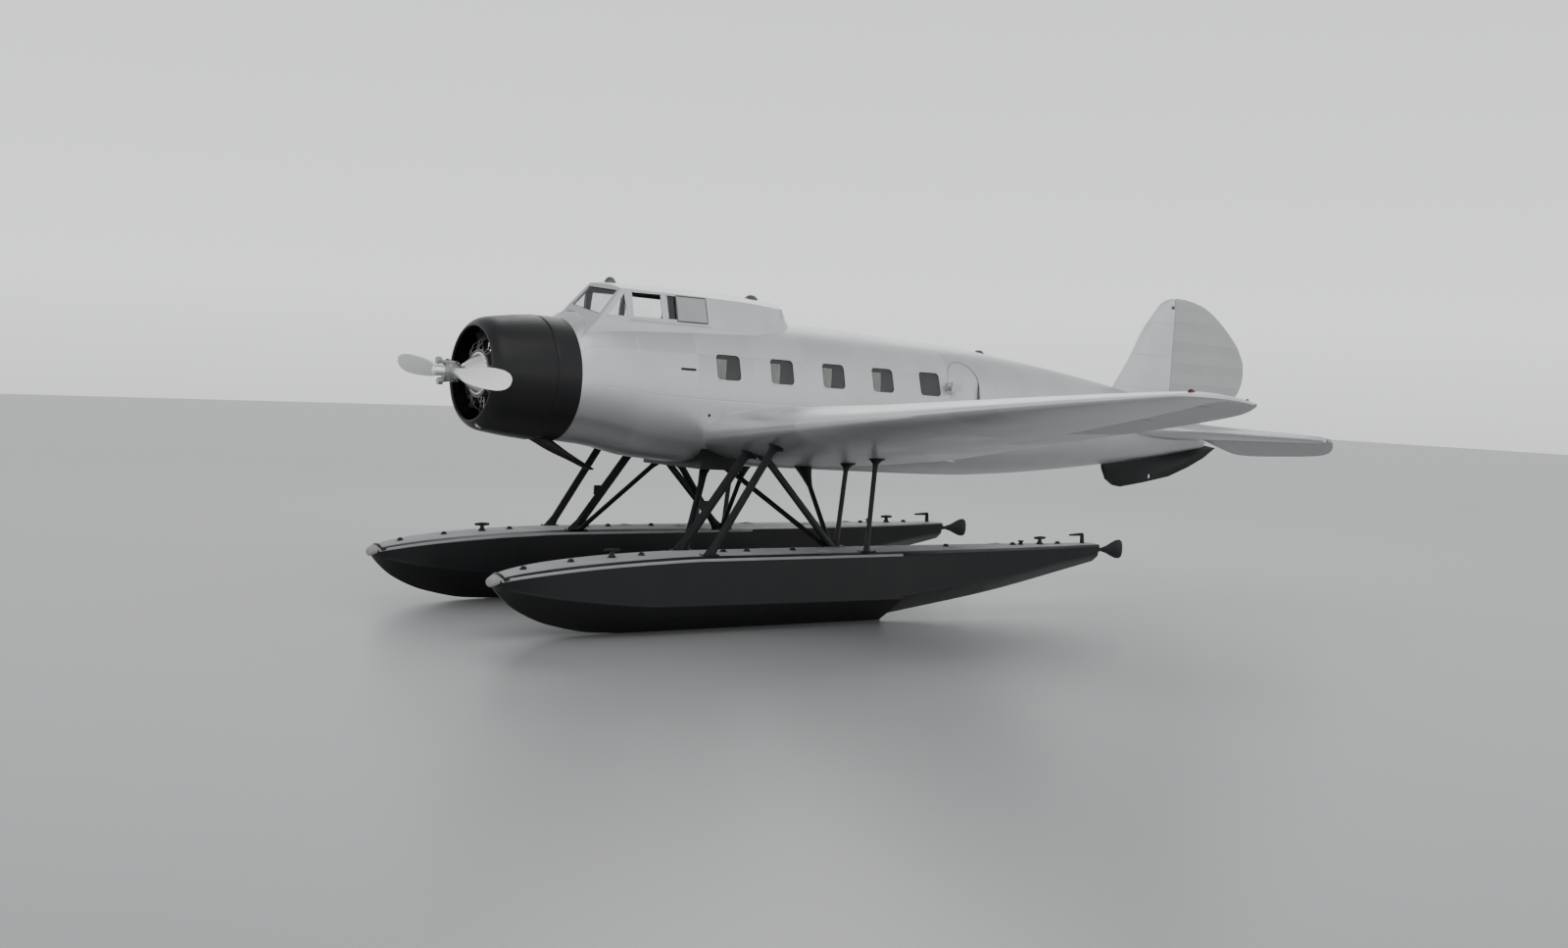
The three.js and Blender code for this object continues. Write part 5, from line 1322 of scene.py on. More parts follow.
def wing_height(x, span, side):
    """Height of the wing's top (side 1) or bottom (side -1) skin."""
    lead, trail, thick, z = wing_at(span)
    chord = trail - lead
    share = min(max((x - lead) / chord, 0.001), 0.999)
    ring = aerofoil(thick, chord)
    line = ring[:CHORD_STEPS + 1][::-1] if side > 0 else ring[CHORD_STEPS:]
    k = 0
    while k < len(line) - 2 and line[k + 1][0] < share:
        k += 1
    t = (share - line[k][0]) / (line[k + 1][0] - line[k][0])
    up = line[k][1] + t * (line[k + 1][1] - line[k][1])
    return z + chord * (up - share * math.sin(INCIDENCE))


# Ailerons turn about a line along the rear spar, each on three brackets that stand in slots
# of its round nose. The frames are doped fabric from the nose back.
HINGE_SPANS = (4.900, 7.930)
HINGE_ENDS = (Vector((4.502997, HINGE_SPANS[0], -0.14269)), Vector((3.54019, HINGE_SPANS[1], 0.18014)))
THROUGH, BEHIND = (-0.26, 0.26), 1.4     # right through the wing's thickness, and past its trailing edge
AILERON_NOSE = (0.106, 0.102)
AILERON_RUN = 0.006
BRACKETS = {"spans": (5.3, 6.4, 7.45), "reach": 0.034, "eye": 0.013, "half": 0.015, "slot": 0.021,
            "depth": 0.032, "pin": 0.009, "pin_half": 0.034}


def on_side(rings, sign):
    return [[(x, sign * y, z) for x, y, z in ring] for ring in rings]


def hinge_frame():
    line = (HINGE_ENDS[1] - HINGE_ENDS[0]).normalized()
    aft = (Vector((1, 0, 0)) - line * line.x).normalized()
    return line, aft, aft.cross(line)


def hinge_block(ends, aft, up):
    _, back, rise = hinge_frame()
    corners = [(aft[0], up[1]), (aft[1], up[1]), (aft[1], up[0]), (aft[0], up[0])]
    return [[tuple(p + back * u + rise * v) for u, v in corners] for p in ends]


def aileron_room(name, spare, ends, sign):
    """All that lies behind the cove: a tapered barrel about the hinge and a block aft of it."""
    line, _, _ = hinge_frame()
    a, b = HINGE_ENDS[0] + line * ends, HINGE_ENDS[1] - line * ends
    barrel = gather(name, [on_side(rod_rings(a, b, AILERON_NOSE[0] + spare, AILERON_NOSE[1] + spare,
                                             sides=48), sign)])
    rear = gather(f"{name}_rear", [on_side(hinge_block((a, b), (-spare * 0.2, BEHIND), THROUGH), sign)])
    carve(barrel, rear, "UNION", solver="MANIFOLD")
    return barrel


def bracket_places():
    line, _, _ = hinge_frame()
    for span in BRACKETS["spans"]:
        t = (span - HINGE_SPANS[0]) / (HINGE_SPANS[1] - HINGE_SPANS[0])
        middle = HINGE_ENDS[0].lerp(HINGE_ENDS[1], t)
        nose = AILERON_NOSE[0] + t * (AILERON_NOSE[1] - AILERON_NOSE[0])
        yield middle, nose, line


def fabric(name, colour, rib):
    """Doped fabric over ribs: it sags between them, with a tape and stitches along each."""
    made, shader = finish(name)
    along, across = metre_map(made)
    from_rib = math_node(made, "PINGPONG", across, rib / 2)
    sag = math_node(made, "MULTIPLY", ramp(made, from_rib, 0.0, rib / 2, 0.0, 1.0), -3.2)
    tape = math_node(made, "MULTIPLY", ramp(made, from_rib, 0.012, 0.015, 1.0, 0.0), 0.55)
    stitch = math_node(made, "MULTIPLY", rivets(made, from_rib, along, 0.0, 0.055, 0.006), 0.7)
    weave = math_node(made, "MULTIPLY", mottle(made, 700.0, 1.0), 0.12)
    total = math_node(made, "ADD", math_node(made, "ADD", sag, tape), math_node(made, "ADD", stitch, weave))
    relief(made, shader, total, 0.0014)
    tint(made, shader, colour,
         math_node(made, "ADD", math_node(made, "MULTIPLY", mottle(made, 2.5, 5.0), 0.8),
                   math_node(made, "MULTIPLY", ramp(made, from_rib, 0.0, 0.02, 1.0, 0.0), 0.2)), 0.9, 1.08)
    shader.inputs["Metallic"].default_value = 0.3
    shader.inputs["Roughness"].default_value = 0.5
    return made


wing_metal = sheet_metal("silver_sheet_wing", (0.66, 0.67, 0.68), (0.64, 0.62), rough=0.35, waves=0.25,
                         stretch=(3, 0.35, 1))
doped = fabric("doped_fabric_silver", (0.52, 0.53, 0.53), 0.30)

# Fillets: hollow-cheeked sheet that runs from the fuselage side out over the wing's top.
FILLET = [
    # x, height on the fuselage side, reach over the wing
    (2.750, -0.330, 0.720), (3.300, -0.200, 0.960), (4.200, -0.150, 1.080), (5.200, -0.220, 1.080),
    (5.800, -0.340, 0.970), (6.200, -0.460, 0.830), (6.500, -0.570, 0.690), (6.680, -0.650, 0.580),
]
FILLET_FOOT, FILLET_INSIDE = 0.730, 0.42


def fillet_ring(x, sign, steps=14):
    high, reach = fair(FILLET, x)
    low = wing_height(x, reach, 1) + 0.004
    foot = min(FILLET_FOOT, reach - 0.03)
    ring = [(x, FILLET_INSIDE, high), (x, foot, high)]
    for i in range(1, steps + 1):
        t = i / steps * math.pi / 2
        ring.append((x, foot + (reach - foot) * (1 - math.cos(t)), high + (low - high) * math.sin(t)))
    sunk = min(0.03, max(0.004, (wing_height(x, reach, 1) - wing_height(x, reach, -1)) / 2))
    ring += [(x, reach, low - sunk), (x, FILLET_INSIDE, low - sunk)]
    return [(a, sign * y, z) for a, y, z in ring]


def about(middle, line, reach):
    return middle - line * reach, middle + line * reach


for side, sign in SIDES:
    root = wing_skin(f"{side}_wing_root_skin", WING_ROOT, WING_BREAK, sign, wing_metal)
    fillet = skin(f"{side}_wing_fillet",
                  [fillet_ring(x, sign) for x in spaced(FILLET[0][0], FILLET[-1][0], 0.08)],
                  uv=lambda i, j, p: (p[0] - 2.75, 0.05 * j))
    fit(root, stands_for=f"{side}_wing_root")
    fit(fillet, made=wing_metal)
    panel = wing_skin(f"{side}_wing_panel_skin", WING_BREAK + 0.0003, WING_TIP, sign, wing_metal)
    aileron = wing_skin(f"{side}_aileron_cover", 4.6, WING_TIP, sign, doped)
    carve(panel, aileron_room("cove_tool", AILERON_RUN, 0.0, sign), solver="MANIFOLD")
    carve(aileron, aileron_room("aileron_tool", 0.0, AILERON_RUN, sign), "INTERSECT", solver="MANIFOLD")
    lugs, slots = [], []
    for middle, nose, line in bracket_places():
        fore = -nose - BRACKETS["reach"]
        lugs.append(on_side(hinge_block(about(middle, line, BRACKETS["half"]), (fore, BRACKETS["eye"]),
                                        (-BRACKETS["eye"], BRACKETS["eye"])), sign))
        lugs.append(on_side(rod_rings(*about(middle, line, BRACKETS["pin_half"]), BRACKETS["pin"], sides=20),
                            sign))
        slots.append(on_side(hinge_block(about(middle, line, BRACKETS["slot"]), (fore, BRACKETS["depth"]),
                                         THROUGH), sign))
    carve(aileron, gather("slot_tool", slots), solver="MANIFOLD")
    fit(gather(f"{side}_aileron_brackets", lugs), made=worn_steel)
    fit(panel, stands_for=f"{side}_wing_panel")
    fit(aileron, f"{side}_aileron", stands_for=f"{side}_aileron")

# Wing lamps: a small coloured glass in a teardrop form on the top of each wing near the tip,
# red on the port side and green on the starboard side.
NAV = {"span": 7.62, "share": 0.13, "long": 0.11, "wide": 0.040, "high": 0.026}


def teardrop_rings(x, y, z, long, wide, high, sides=24, steps=14):
    rows = []
    for t in (i / steps for i in range(steps + 1)):
        swell = max(0.02, math.sin(math.pi * t ** 0.62) ** 0.8)
        rows.append([(x + (t - 0.4) * long, y + math.cos(a) * wide / 2 * swell,
                      z + math.sin(a) * high * swell)
                     for a in turns(sides)])
    return rows


for (side, sign), colour in zip(SIDES, ((0.16, 0.010, 0.008), (0.006, 0.10, 0.025))):
    lamp_glass = glass_finish(f"{side}_lamp_glass", colour, 0.08, 0.5)
    lead, trail, _, _ = wing_at(NAV["span"])
    x = lead + (trail - lead) * NAV["share"]
    lamp = gather(f"{side}_wing_lamp",
                  [teardrop_rings(x, sign * NAV["span"], wing_height(x, NAV["span"], 1), NAV["long"],
                                  NAV["wide"], NAV["high"])])
    fit(lamp, made=lamp_glass)

# Tailplane: a fixed metal stabiliser a side, thick at the root where it meets the tail cone,
# with a fabric-covered elevator behind it on three lugs. The elevators hang down at rest.
TAIL = {"x": 11.560, "z": -0.090, "droop": math.radians(22)}
STABILISER = [
    # span station, leading edge x, half thickness
    (0.150, 9.850, 0.150), (0.430, 9.950, 0.132), (0.520, 10.350, 0.118), (0.620, 10.640, 0.108),
    (0.850, 10.830, 0.096), (1.400, 10.960, 0.080), (2.000, 11.150, 0.064), (2.370, 11.270, 0.050),
    (2.530, 11.340, 0.040), (2.590, 11.420, 0.028),
]
ELEVATOR = [
    # span station, nose radius, chord behind the hinge
    (0.150, 0.050, 0.420), (0.230, 0.050, 0.640), (0.330, 0.050, 0.770), (0.480, 0.050, 0.800),
    (1.400, 0.048, 0.700), (2.000, 0.046, 0.590), (2.220, 0.044, 0.490), (2.400, 0.038, 0.340),
    (2.520, 0.030, 0.190), (2.590, 0.022, 0.080),
]
STABILISER_LUGS, HINGE_GAP = (0.520, 1.450, 2.350), 0.062
LUG = {"half": 0.014, "thick": 0.012, "clear": 0.0006}
ELEVATOR_TRAVEL = 47
TAPER_FROM = 0.75            # of the chord


def tail_side(lead, chord, half, rear, swell, steps):
    """One side of a fixed tail surface: a round nose up to its full thickness, then a taper to the rear."""
    side = []
    for i in range(steps + 1):
        u = (1 - math.cos(i / steps * math.pi)) / 2
        taper = (u - TAPER_FROM) / (1 - TAPER_FROM)
        side.append((lead + u * chord,
                     swell(u) * half if u < TAPER_FROM else half + (min(half, rear) - half) * taper))
    return side


def stabiliser_ring(y, sign):
    lead, half = fair(STABILISER, y)
    upper = tail_side(lead, TAIL["x"] - HINGE_GAP - lead, half, 0.052,
                      lambda u: min(math.sqrt(u) * 1.75 * (1 - 0.42 * u), 1.0), 16)
    lower = [(x, -z) for x, z in reversed(upper[1:])]
    return [(x, sign * y, TAIL["z"] + z) for x, z in upper + lower]


def flap_ring(radius, chord, steps=12):
    """Section of a hinged surface: a round nose about the hinge, then a straight taper aft."""
    ring = [(math.cos(a) * radius, math.sin(a) * radius)
            for a in (math.pi / 2 + i / steps * math.pi for i in range(steps + 1))]
    lower = [(0.25, -0.84), (0.5, -0.62), (0.75, -0.36)]
    ring += [(chord * u, v * radius) for u, v in lower] + [(chord, -0.005), (chord, 0.005)]
    return ring + [(chord * u, -v * radius) for u, v in reversed(lower)]


tail_metal = sheet_metal("silver_sheet_tail", (0.66, 0.67, 0.68), (0.52, 0.48))
tail_stations = [*spaced(0.15, 0.43, 0.06), *spaced(0.43, 0.85, 0.03)[1:], *spaced(0.85, 2.37, 0.08)[1:],
                 *spaced(2.37, 2.59, 0.02)[1:]]
flap_stations = [*spaced(0.15, 0.48, 0.03), *spaced(0.48, 2.22, 0.08)[1:], *spaced(2.22, 2.59, 0.02)[1:]]
droop_c, droop_s = math.cos(TAIL["droop"]), math.sin(TAIL["droop"])


def cone_room(name):
    """Room that the elevators need beside the tail cone through their whole travel."""
    tool = None
    for step in range(5):
        hinge = Matrix.Translation((TAIL["x"], 0, TAIL["z"]))
        turned = hinge @ Matrix.Rotation(math.radians(ELEVATOR_TRAVEL * step / 4), 4, "Y") @ hinge.inverted()
        cone = skin(f"{name}_{step}", [body_ring(x, 0.006, 40) for x in (*spaced(11.0, 11.92, 0.1), 11.93)],
                    AIRFRAME @ turned)
        if tool is None:
            tool = cone
        else:
            carve(tool, cone, "UNION", solver="MANIFOLD")
    return tool


for side, sign in SIDES:
    stabiliser = skin(f"{side}_stabiliser_skin", [stabiliser_ring(y, sign) for y in tail_stations],
                      uv=lambda i, j, p: (p[0] - 9.6, abs(p[1])))
    fit(stabiliser, made=tail_metal, stands_for=f"{side}_stabiliser")
    elevator = skin(f"{side}_elevator_cover", [
        [(TAIL["x"] + u * droop_c + v * droop_s, sign * y, TAIL["z"] - u * droop_s + v * droop_c)
         for u, v in flap_ring(*fair(ELEVATOR, y))] for y in flap_stations],
        uv=lambda i, j, p: (p[0] - TAIL["x"], abs(p[1])))
    elevator.data.materials.append(doped)
    carve(elevator, cone_room("cone_tool"), solver="MANIFOLD")
    lugs = []
    for y in STABILISER_LUGS:
        radius, _ = fair(ELEVATOR, y)
        lugs.append(box_rings(TAIL["x"] - 0.07, TAIL["x"] - radius - LUG["clear"], sign * y - LUG["half"],
                              sign * y + LUG["half"], TAIL["z"] - LUG["thick"], TAIL["z"] + LUG["thick"]))
    fit(gather(f"{side}_elevator_lugs", lugs), made=worn_steel)
    fit(elevator, "elevators", stands_for=f"{side}_elevator")

# Fin and rudder: a short metal fin on the tail and a tall fabric-covered rudder behind it,
# on three lugs. The lettering of the real one is left off.
FIN_HINGE, FIN_GAP = 11.150, 0.058
FIN_ROWS = [
    # height, leading edge x, half thickness
    (0.150, 9.700, 0.078), (0.460, 9.960, 0.072), (0.890, 10.250, 0.064), (1.300, 10.480, 0.056),
    (1.570, 10.700, 0.046), (1.700, 10.810, 0.036), (1.760, 10.900, 0.028), (1.795, 10.985, 0.020),
    (1.812, 11.050, 0.014),
]
RUDDER = [
    # height, nose radius, chord behind the hinge
    (0.246, 0.042, 0.900), (0.330, 0.044, 1.200), (0.440, 0.046, 1.380), (0.560, 0.047, 1.480),
    (0.760, 0.048, 1.544), (0.930, 0.048, 1.535), (1.180, 0.047, 1.400), (1.410, 0.045, 1.150),
    (1.600, 0.041, 0.880), (1.740, 0.034, 0.590), (1.800, 0.026, 0.330), (1.820, 0.020, 0.180),
]
FIN_LUGS = (0.480, 1.050, 1.550)


def fin_ring(z):
    lead, half = fair(FIN_ROWS, z)
    side = tail_side(lead, FIN_HINGE - FIN_GAP - lead, half, 0.046, lambda u: min(math.sqrt(u) * 1.6, 1.0),
                     14)
    return [(x, y, z) for x, y in side] + [(x, -y, z) for x, y in reversed(side[1:])]


fin = skin("fin_skin", [fin_ring(z) for z in (*spaced(0.15, 1.57, 0.07), *spaced(1.57, 1.812, 0.016)[1:])],
           uv=lambda i, j, p: (p[0] - 9.6, p[2]))
fit(fin, made=tail_metal, stands_for="fin")
rudder = skin("rudder_cover", [[(FIN_HINGE + u, v, z) for u, v in flap_ring(*fair(RUDDER, z))]
                               for z in (*spaced(0.246, 0.56, 0.025), *spaced(0.56, 1.6, 0.05)[1:],
                                         *spaced(1.6, 1.74, 0.02)[1:], *spaced(1.74, 1.82, 0.008)[1:])],
              uv=lambda i, j, p: (p[0] - FIN_HINGE, p[2]))
fit(rudder, "rudder", doped, "rudder")
lugs = gather("rudder_lugs", [
    box_rings(FIN_HINGE - FIN_GAP - 0.012, FIN_HINGE - fair(RUDDER, z)[0] - LUG["clear"], -LUG["thick"],
              LUG["thick"], z - LUG["half"], z + LUG["half"]) for z in FIN_LUGS])
fit(lugs, made=worn_steel)

# Aerial studs: a short steel stud through the top of the fin, and a small knob on the upper
# skin of each wing tip, where the aerial wires are made fast.
FIN_STUD, TIP_STUD = (11.055, 0.056, 1.680), (3.600, 7.985)
x, y, z = FIN_STUD
studs = [rod_rings((x, -y, z), (x, y, z), 0.026, rounding=0.008, sides=24)]
x, span = TIP_STUD
for sign in (-1, 1):
    z = wing_height(x, span, 1)
    studs.append(rod_rings((x, sign * span, z - 0.010), (x, sign * span, z + 0.014), 0.016, 0.012,
                           rounding=0.004))
fit(gather("aerial_studs", studs), made=worn_steel)

# Ventral fin: a flat-sided keel under the tail, riveted along its frame, with a lifting hole
# for the tail line near its lower edge. It is painted like the floats.
VENTRAL = [(9.880, -0.560), (9.890, -0.690), (9.980, -0.850), (10.120, -0.930), (10.260, -0.950),
           (10.730, -0.870), (11.230, -0.770), (11.630, -0.620), (11.950, -0.470), (12.190, -0.310),
           (11.920, -0.280), (11.200, -0.350), (10.600, -0.450)]
VENTRAL_HOLE, HOLE_RADIUS, VENTRAL_HALF = (10.850, -0.780), 0.045, 0.028
float_black = gloss_paint("float_enamel_black", (0.008, 0.0085, 0.0095), 0.34, (0.60, 0.42),
                          (0.016, 0.032, 0.005), 0.2)
strut_black = dark_paint("strut_enamel_black", (0.008, 0.0085, 0.0095), 0.36)
strut_black.node_tree.nodes["Principled BSDF"].inputs["Specular IOR Level"].default_value = 0.3


def flat_rings(outline, half, y=0.0, rounding=0.006):
    """Rings of a flat plate with softened edges from an outline in side view."""
    cx = sum(x for x, _ in outline) / len(outline)
    cz = sum(z for _, z in outline) / len(outline)

    def inset(amount):
        found = []
        for (x0, z0), (x, z), (x1, z1) in zip(outline[-1:] + outline[:-1], outline,
                                              outline[1:] + outline[:1]):
            d = Vector((z1 - z0, x0 - x1))
            d = d.normalized() if d.length else Vector((0, 0))
            if d.dot(Vector((x - cx, z - cz))) < 0:
                d.negate()
            found.append((x - d.x * amount, z - d.y * amount))
        return found

    return [[(x, y + side * (half - edge), z) for x, z in inset(amount)]
            for side, rows in ((-1, ((rounding, 0.0), (rounding * 0.3, rounding * 0.3), (0.0, rounding))),
                               (1, ((0.0, rounding), (rounding * 0.3, rounding * 0.3), (rounding, 0.0))))
            for amount, edge in rows]


ventral = skin("ventral_fin_plates", flat_rings(filled(VENTRAL, 4), VENTRAL_HALF),
               uv=lambda i, j, p: (p[0] - 9.7, p[2]))
ventral.data.materials.append(float_black)
carve(ventral, gather("lifting_hole_tool", [rod_rings((VENTRAL_HOLE[0], -0.1, VENTRAL_HOLE[1]),
                                                      (VENTRAL_HOLE[0], 0.1, VENTRAL_HOLE[1]), HOLE_RADIUS,
                                                      sides=40)]))
fit(ventral, stands_for="ventral_fin")

# Floats: riveted alloy hulls with a vee bottom, a step amidships and a crowned walking deck.
# The sides and bottom are black enamel, the deck is grey with a rougher footing.
FORE_HULL = [
    # x, deck half width, deck z, side half width, side top z, chine half width, chine z, keel z
    (-0.440, 0.060, 0.625, 0.090, 0.612, 0.080, 0.580, 0.560),
    (-0.380, 0.120, 0.655, 0.170, 0.634, 0.150, 0.545, 0.480),
    (-0.150, 0.200, 0.708, 0.280, 0.682, 0.270, 0.490, 0.290),
    (0.250, 0.260, 0.762, 0.360, 0.733, 0.370, 0.430, 0.120),
    (0.800, 0.300, 0.806, 0.405, 0.777, 0.425, 0.370, 0.018),
    (1.300, 0.315, 0.832, 0.420, 0.802, 0.445, 0.330, 0.000),
    (1.940, 0.315, 0.850, 0.420, 0.820, 0.445, 0.322, 0.000),
    (4.680, 0.315, 0.850, 0.420, 0.820, 0.445, 0.300, 0.000),
]
AFT_HULL = [
    (4.700, 0.315, 0.850, 0.420, 0.820, 0.440, 0.330, 0.062),
    (6.400, 0.270, 0.850, 0.355, 0.825, 0.340, 0.500, 0.290),
    (7.700, 0.170, 0.850, 0.225, 0.832, 0.190, 0.660, 0.530),
    (8.172, 0.110, 0.850, 0.150, 0.838, 0.120, 0.700, 0.620),
]
BOW, STEP, AFT_START, STERN = FORE_HULL[0][0], FORE_HULL[-1][0], AFT_HULL[0][0], AFT_HULL[-1][0]
FLOAT_X, TRACK = DATUM[0], 1.575
KEEL_HALF, CROWN = 0.020, 0.008
DECK_SIDE, CHINE = 2, 4      # columns of half width, each with its height in the next
STANDING = Matrix.Identity(4)


def hull_row(x):
    return fair(FORE_HULL if x <= STEP else AFT_HULL, x)


def hull_half(x):
    deck, deck_z, side, side_z, chine, chine_z, keel_z = hull_row(x)
    return [(0, deck_z + CROWN), (deck * 0.33, deck_z + CROWN * 0.9),
            (deck * 0.66, deck_z + CROWN * 0.55), (deck, deck_z),
            (deck + (side - deck) * 0.5, deck_z + (side_z - deck_z) * 0.36), (side, side_z),
            (side + (chine - side) * 0.5, (side_z + chine_z) / 2), (chine, chine_z),
            (chine + (KEEL_HALF - chine) * 0.5, chine_z + (keel_z - chine_z) * 0.53),
            (KEEL_HALF, keel_z), (0, keel_z)]


def hull_ring(x, middle):
    half = hull_half(x)
    ring = half + [(-y, z) for y, z in reversed(half[1:-1])]
    return [(FLOAT_X + x, middle + y, z) for y, z in ring]


def deck_height(x, across=0.0):
    deck, deck_z = hull_row(x)[:2]
    return deck_z + CROWN * (1 - (across / deck) ** 2)


deck_grey, shader = finish("float_deck_grey")
along, across = metre_map(deck_grey)
from_seam = math_node(deck_grey, "PINGPONG", along, 0.41)
deck_seam = ramp(deck_grey, from_seam, 0.0, 0.004, -1.0, 0.0)
deck_heads = math_node(deck_grey, "MULTIPLY", rivets(deck_grey, from_seam, across, 0.016, 0.04, 0.006), 0.7)
grit = math_node(deck_grey, "MULTIPLY", mottle(deck_grey, 420.0, 2.0), 0.5)
relief(deck_grey, shader,
       math_node(deck_grey, "ADD", math_node(deck_grey, "ADD", deck_seam, deck_heads), grit), 0.001)
tint(deck_grey, shader, (0.36, 0.365, 0.37), mottle(deck_grey, 3.0, 7.0), 0.72, 1.2)
shader.inputs["Roughness"].default_value = 0.66

HANDHOLES = [2.15, 3.05, 3.72, 4.95, 5.75, 6.62]
HANDHOLE_OFF, HANDHOLE = 0.12, (0.105, 0.068)
DECK_PLUGS = [-0.08, 0.48, 1.351, 2.42, 2.74, 3.38, 5.69, 6.79, 7.56]
DECK_PLUG = [(0.0, 0.046), (0.008, 0.046), (0.012, 0.034), (0.026, 0.030), (0.034, 0.022), (0.038, 0.008)]
TEES = [0.980, 7.250]
TEE_POST = [(0.0, 0.048), (0.016, 0.047), (0.024, 0.036), (0.046, 0.025), (0.086, 0.022)]
TEE_BAR = [(0.0, 0.008), (0.006, 0.014), (0.04, 0.018), (0.098, 0.023), (0.156, 0.018), (0.190, 0.014),
           (0.196, 0.008)]
HOOK_POST = [(0.0, 0.046), (0.012, 0.046), (0.018, 0.030), (0.130, 0.024), (0.143, 0.014)]
BOLLARD_AT = 6.925
BOLLARD = [(0.0, 0.034), (0.012, 0.032), (0.024, 0.022), (0.036, 0.030), (0.048, 0.040), (0.055, 0.034),
           (0.057, 0.001)]
HOOK_AT, HOOK_END, PIN_AT = 7.996, 7.765, 8.215
STERN_EYES = ((0.8183, 0.830), (0.706, 0.7177))
CHINE_STRIP = ((-0.012, -0.008), (0.004, -0.007), (0.006, 0.0), (0.003, 0.016), (-0.010, 0.014))
EDGE_STRIP = ((-0.014, 0.010), (-0.008, -0.016), (0.003, -0.018), (0.004, -0.002), (-0.002, 0.004))
KEEL_STRIP = ((-0.019, 0.0), (0.019, 0.0), (0.024, 0.03), (-0.024, 0.03))
BOW_BAND = [(-0.400, 0.132, 0.058), (-0.396, 0.136, 0.062), (-0.372, 0.156, 0.066), (-0.368, 0.146, 0.060)]


def hull_uv(i, j, p):
    return (p[0] - FLOAT_X, j * 0.07)


def fit_deck(piece, middle):
    """The deck's own grey on the flat walking deck, between its two rounded edges."""
    piece.data.materials.append(deck_grey)
    for face in piece.data.polygons:
        x = face.center.x - FLOAT_X
        deck = hull_row(x)[0]
        if face.normal.z > 0.25 and face.center.z > 0.55 and abs(face.center.y - middle) < deck:
            face.material_index = 1


def strip_rings(rows, start, end, middle, hand, column, section):
    """Rings of a strip along one of a hull's edges, its section set off from the edge."""
    return [[(FLOAT_X + x, middle + hand * (fair(rows, x)[column] + out), fair(rows, x)[column + 1] + up)
             for out, up in section] for x in spaced(start, end, 0.1)]


def bow_ring(x, middle, wide, high, sides):
    """A flat oval across the bow, which rises a little aft."""
    return [(FLOAT_X + x, middle + math.cos(t) * wide, 0.592 + (x + 0.486) * 0.35 + math.sin(t) * high)
            for t in turns(sides)]


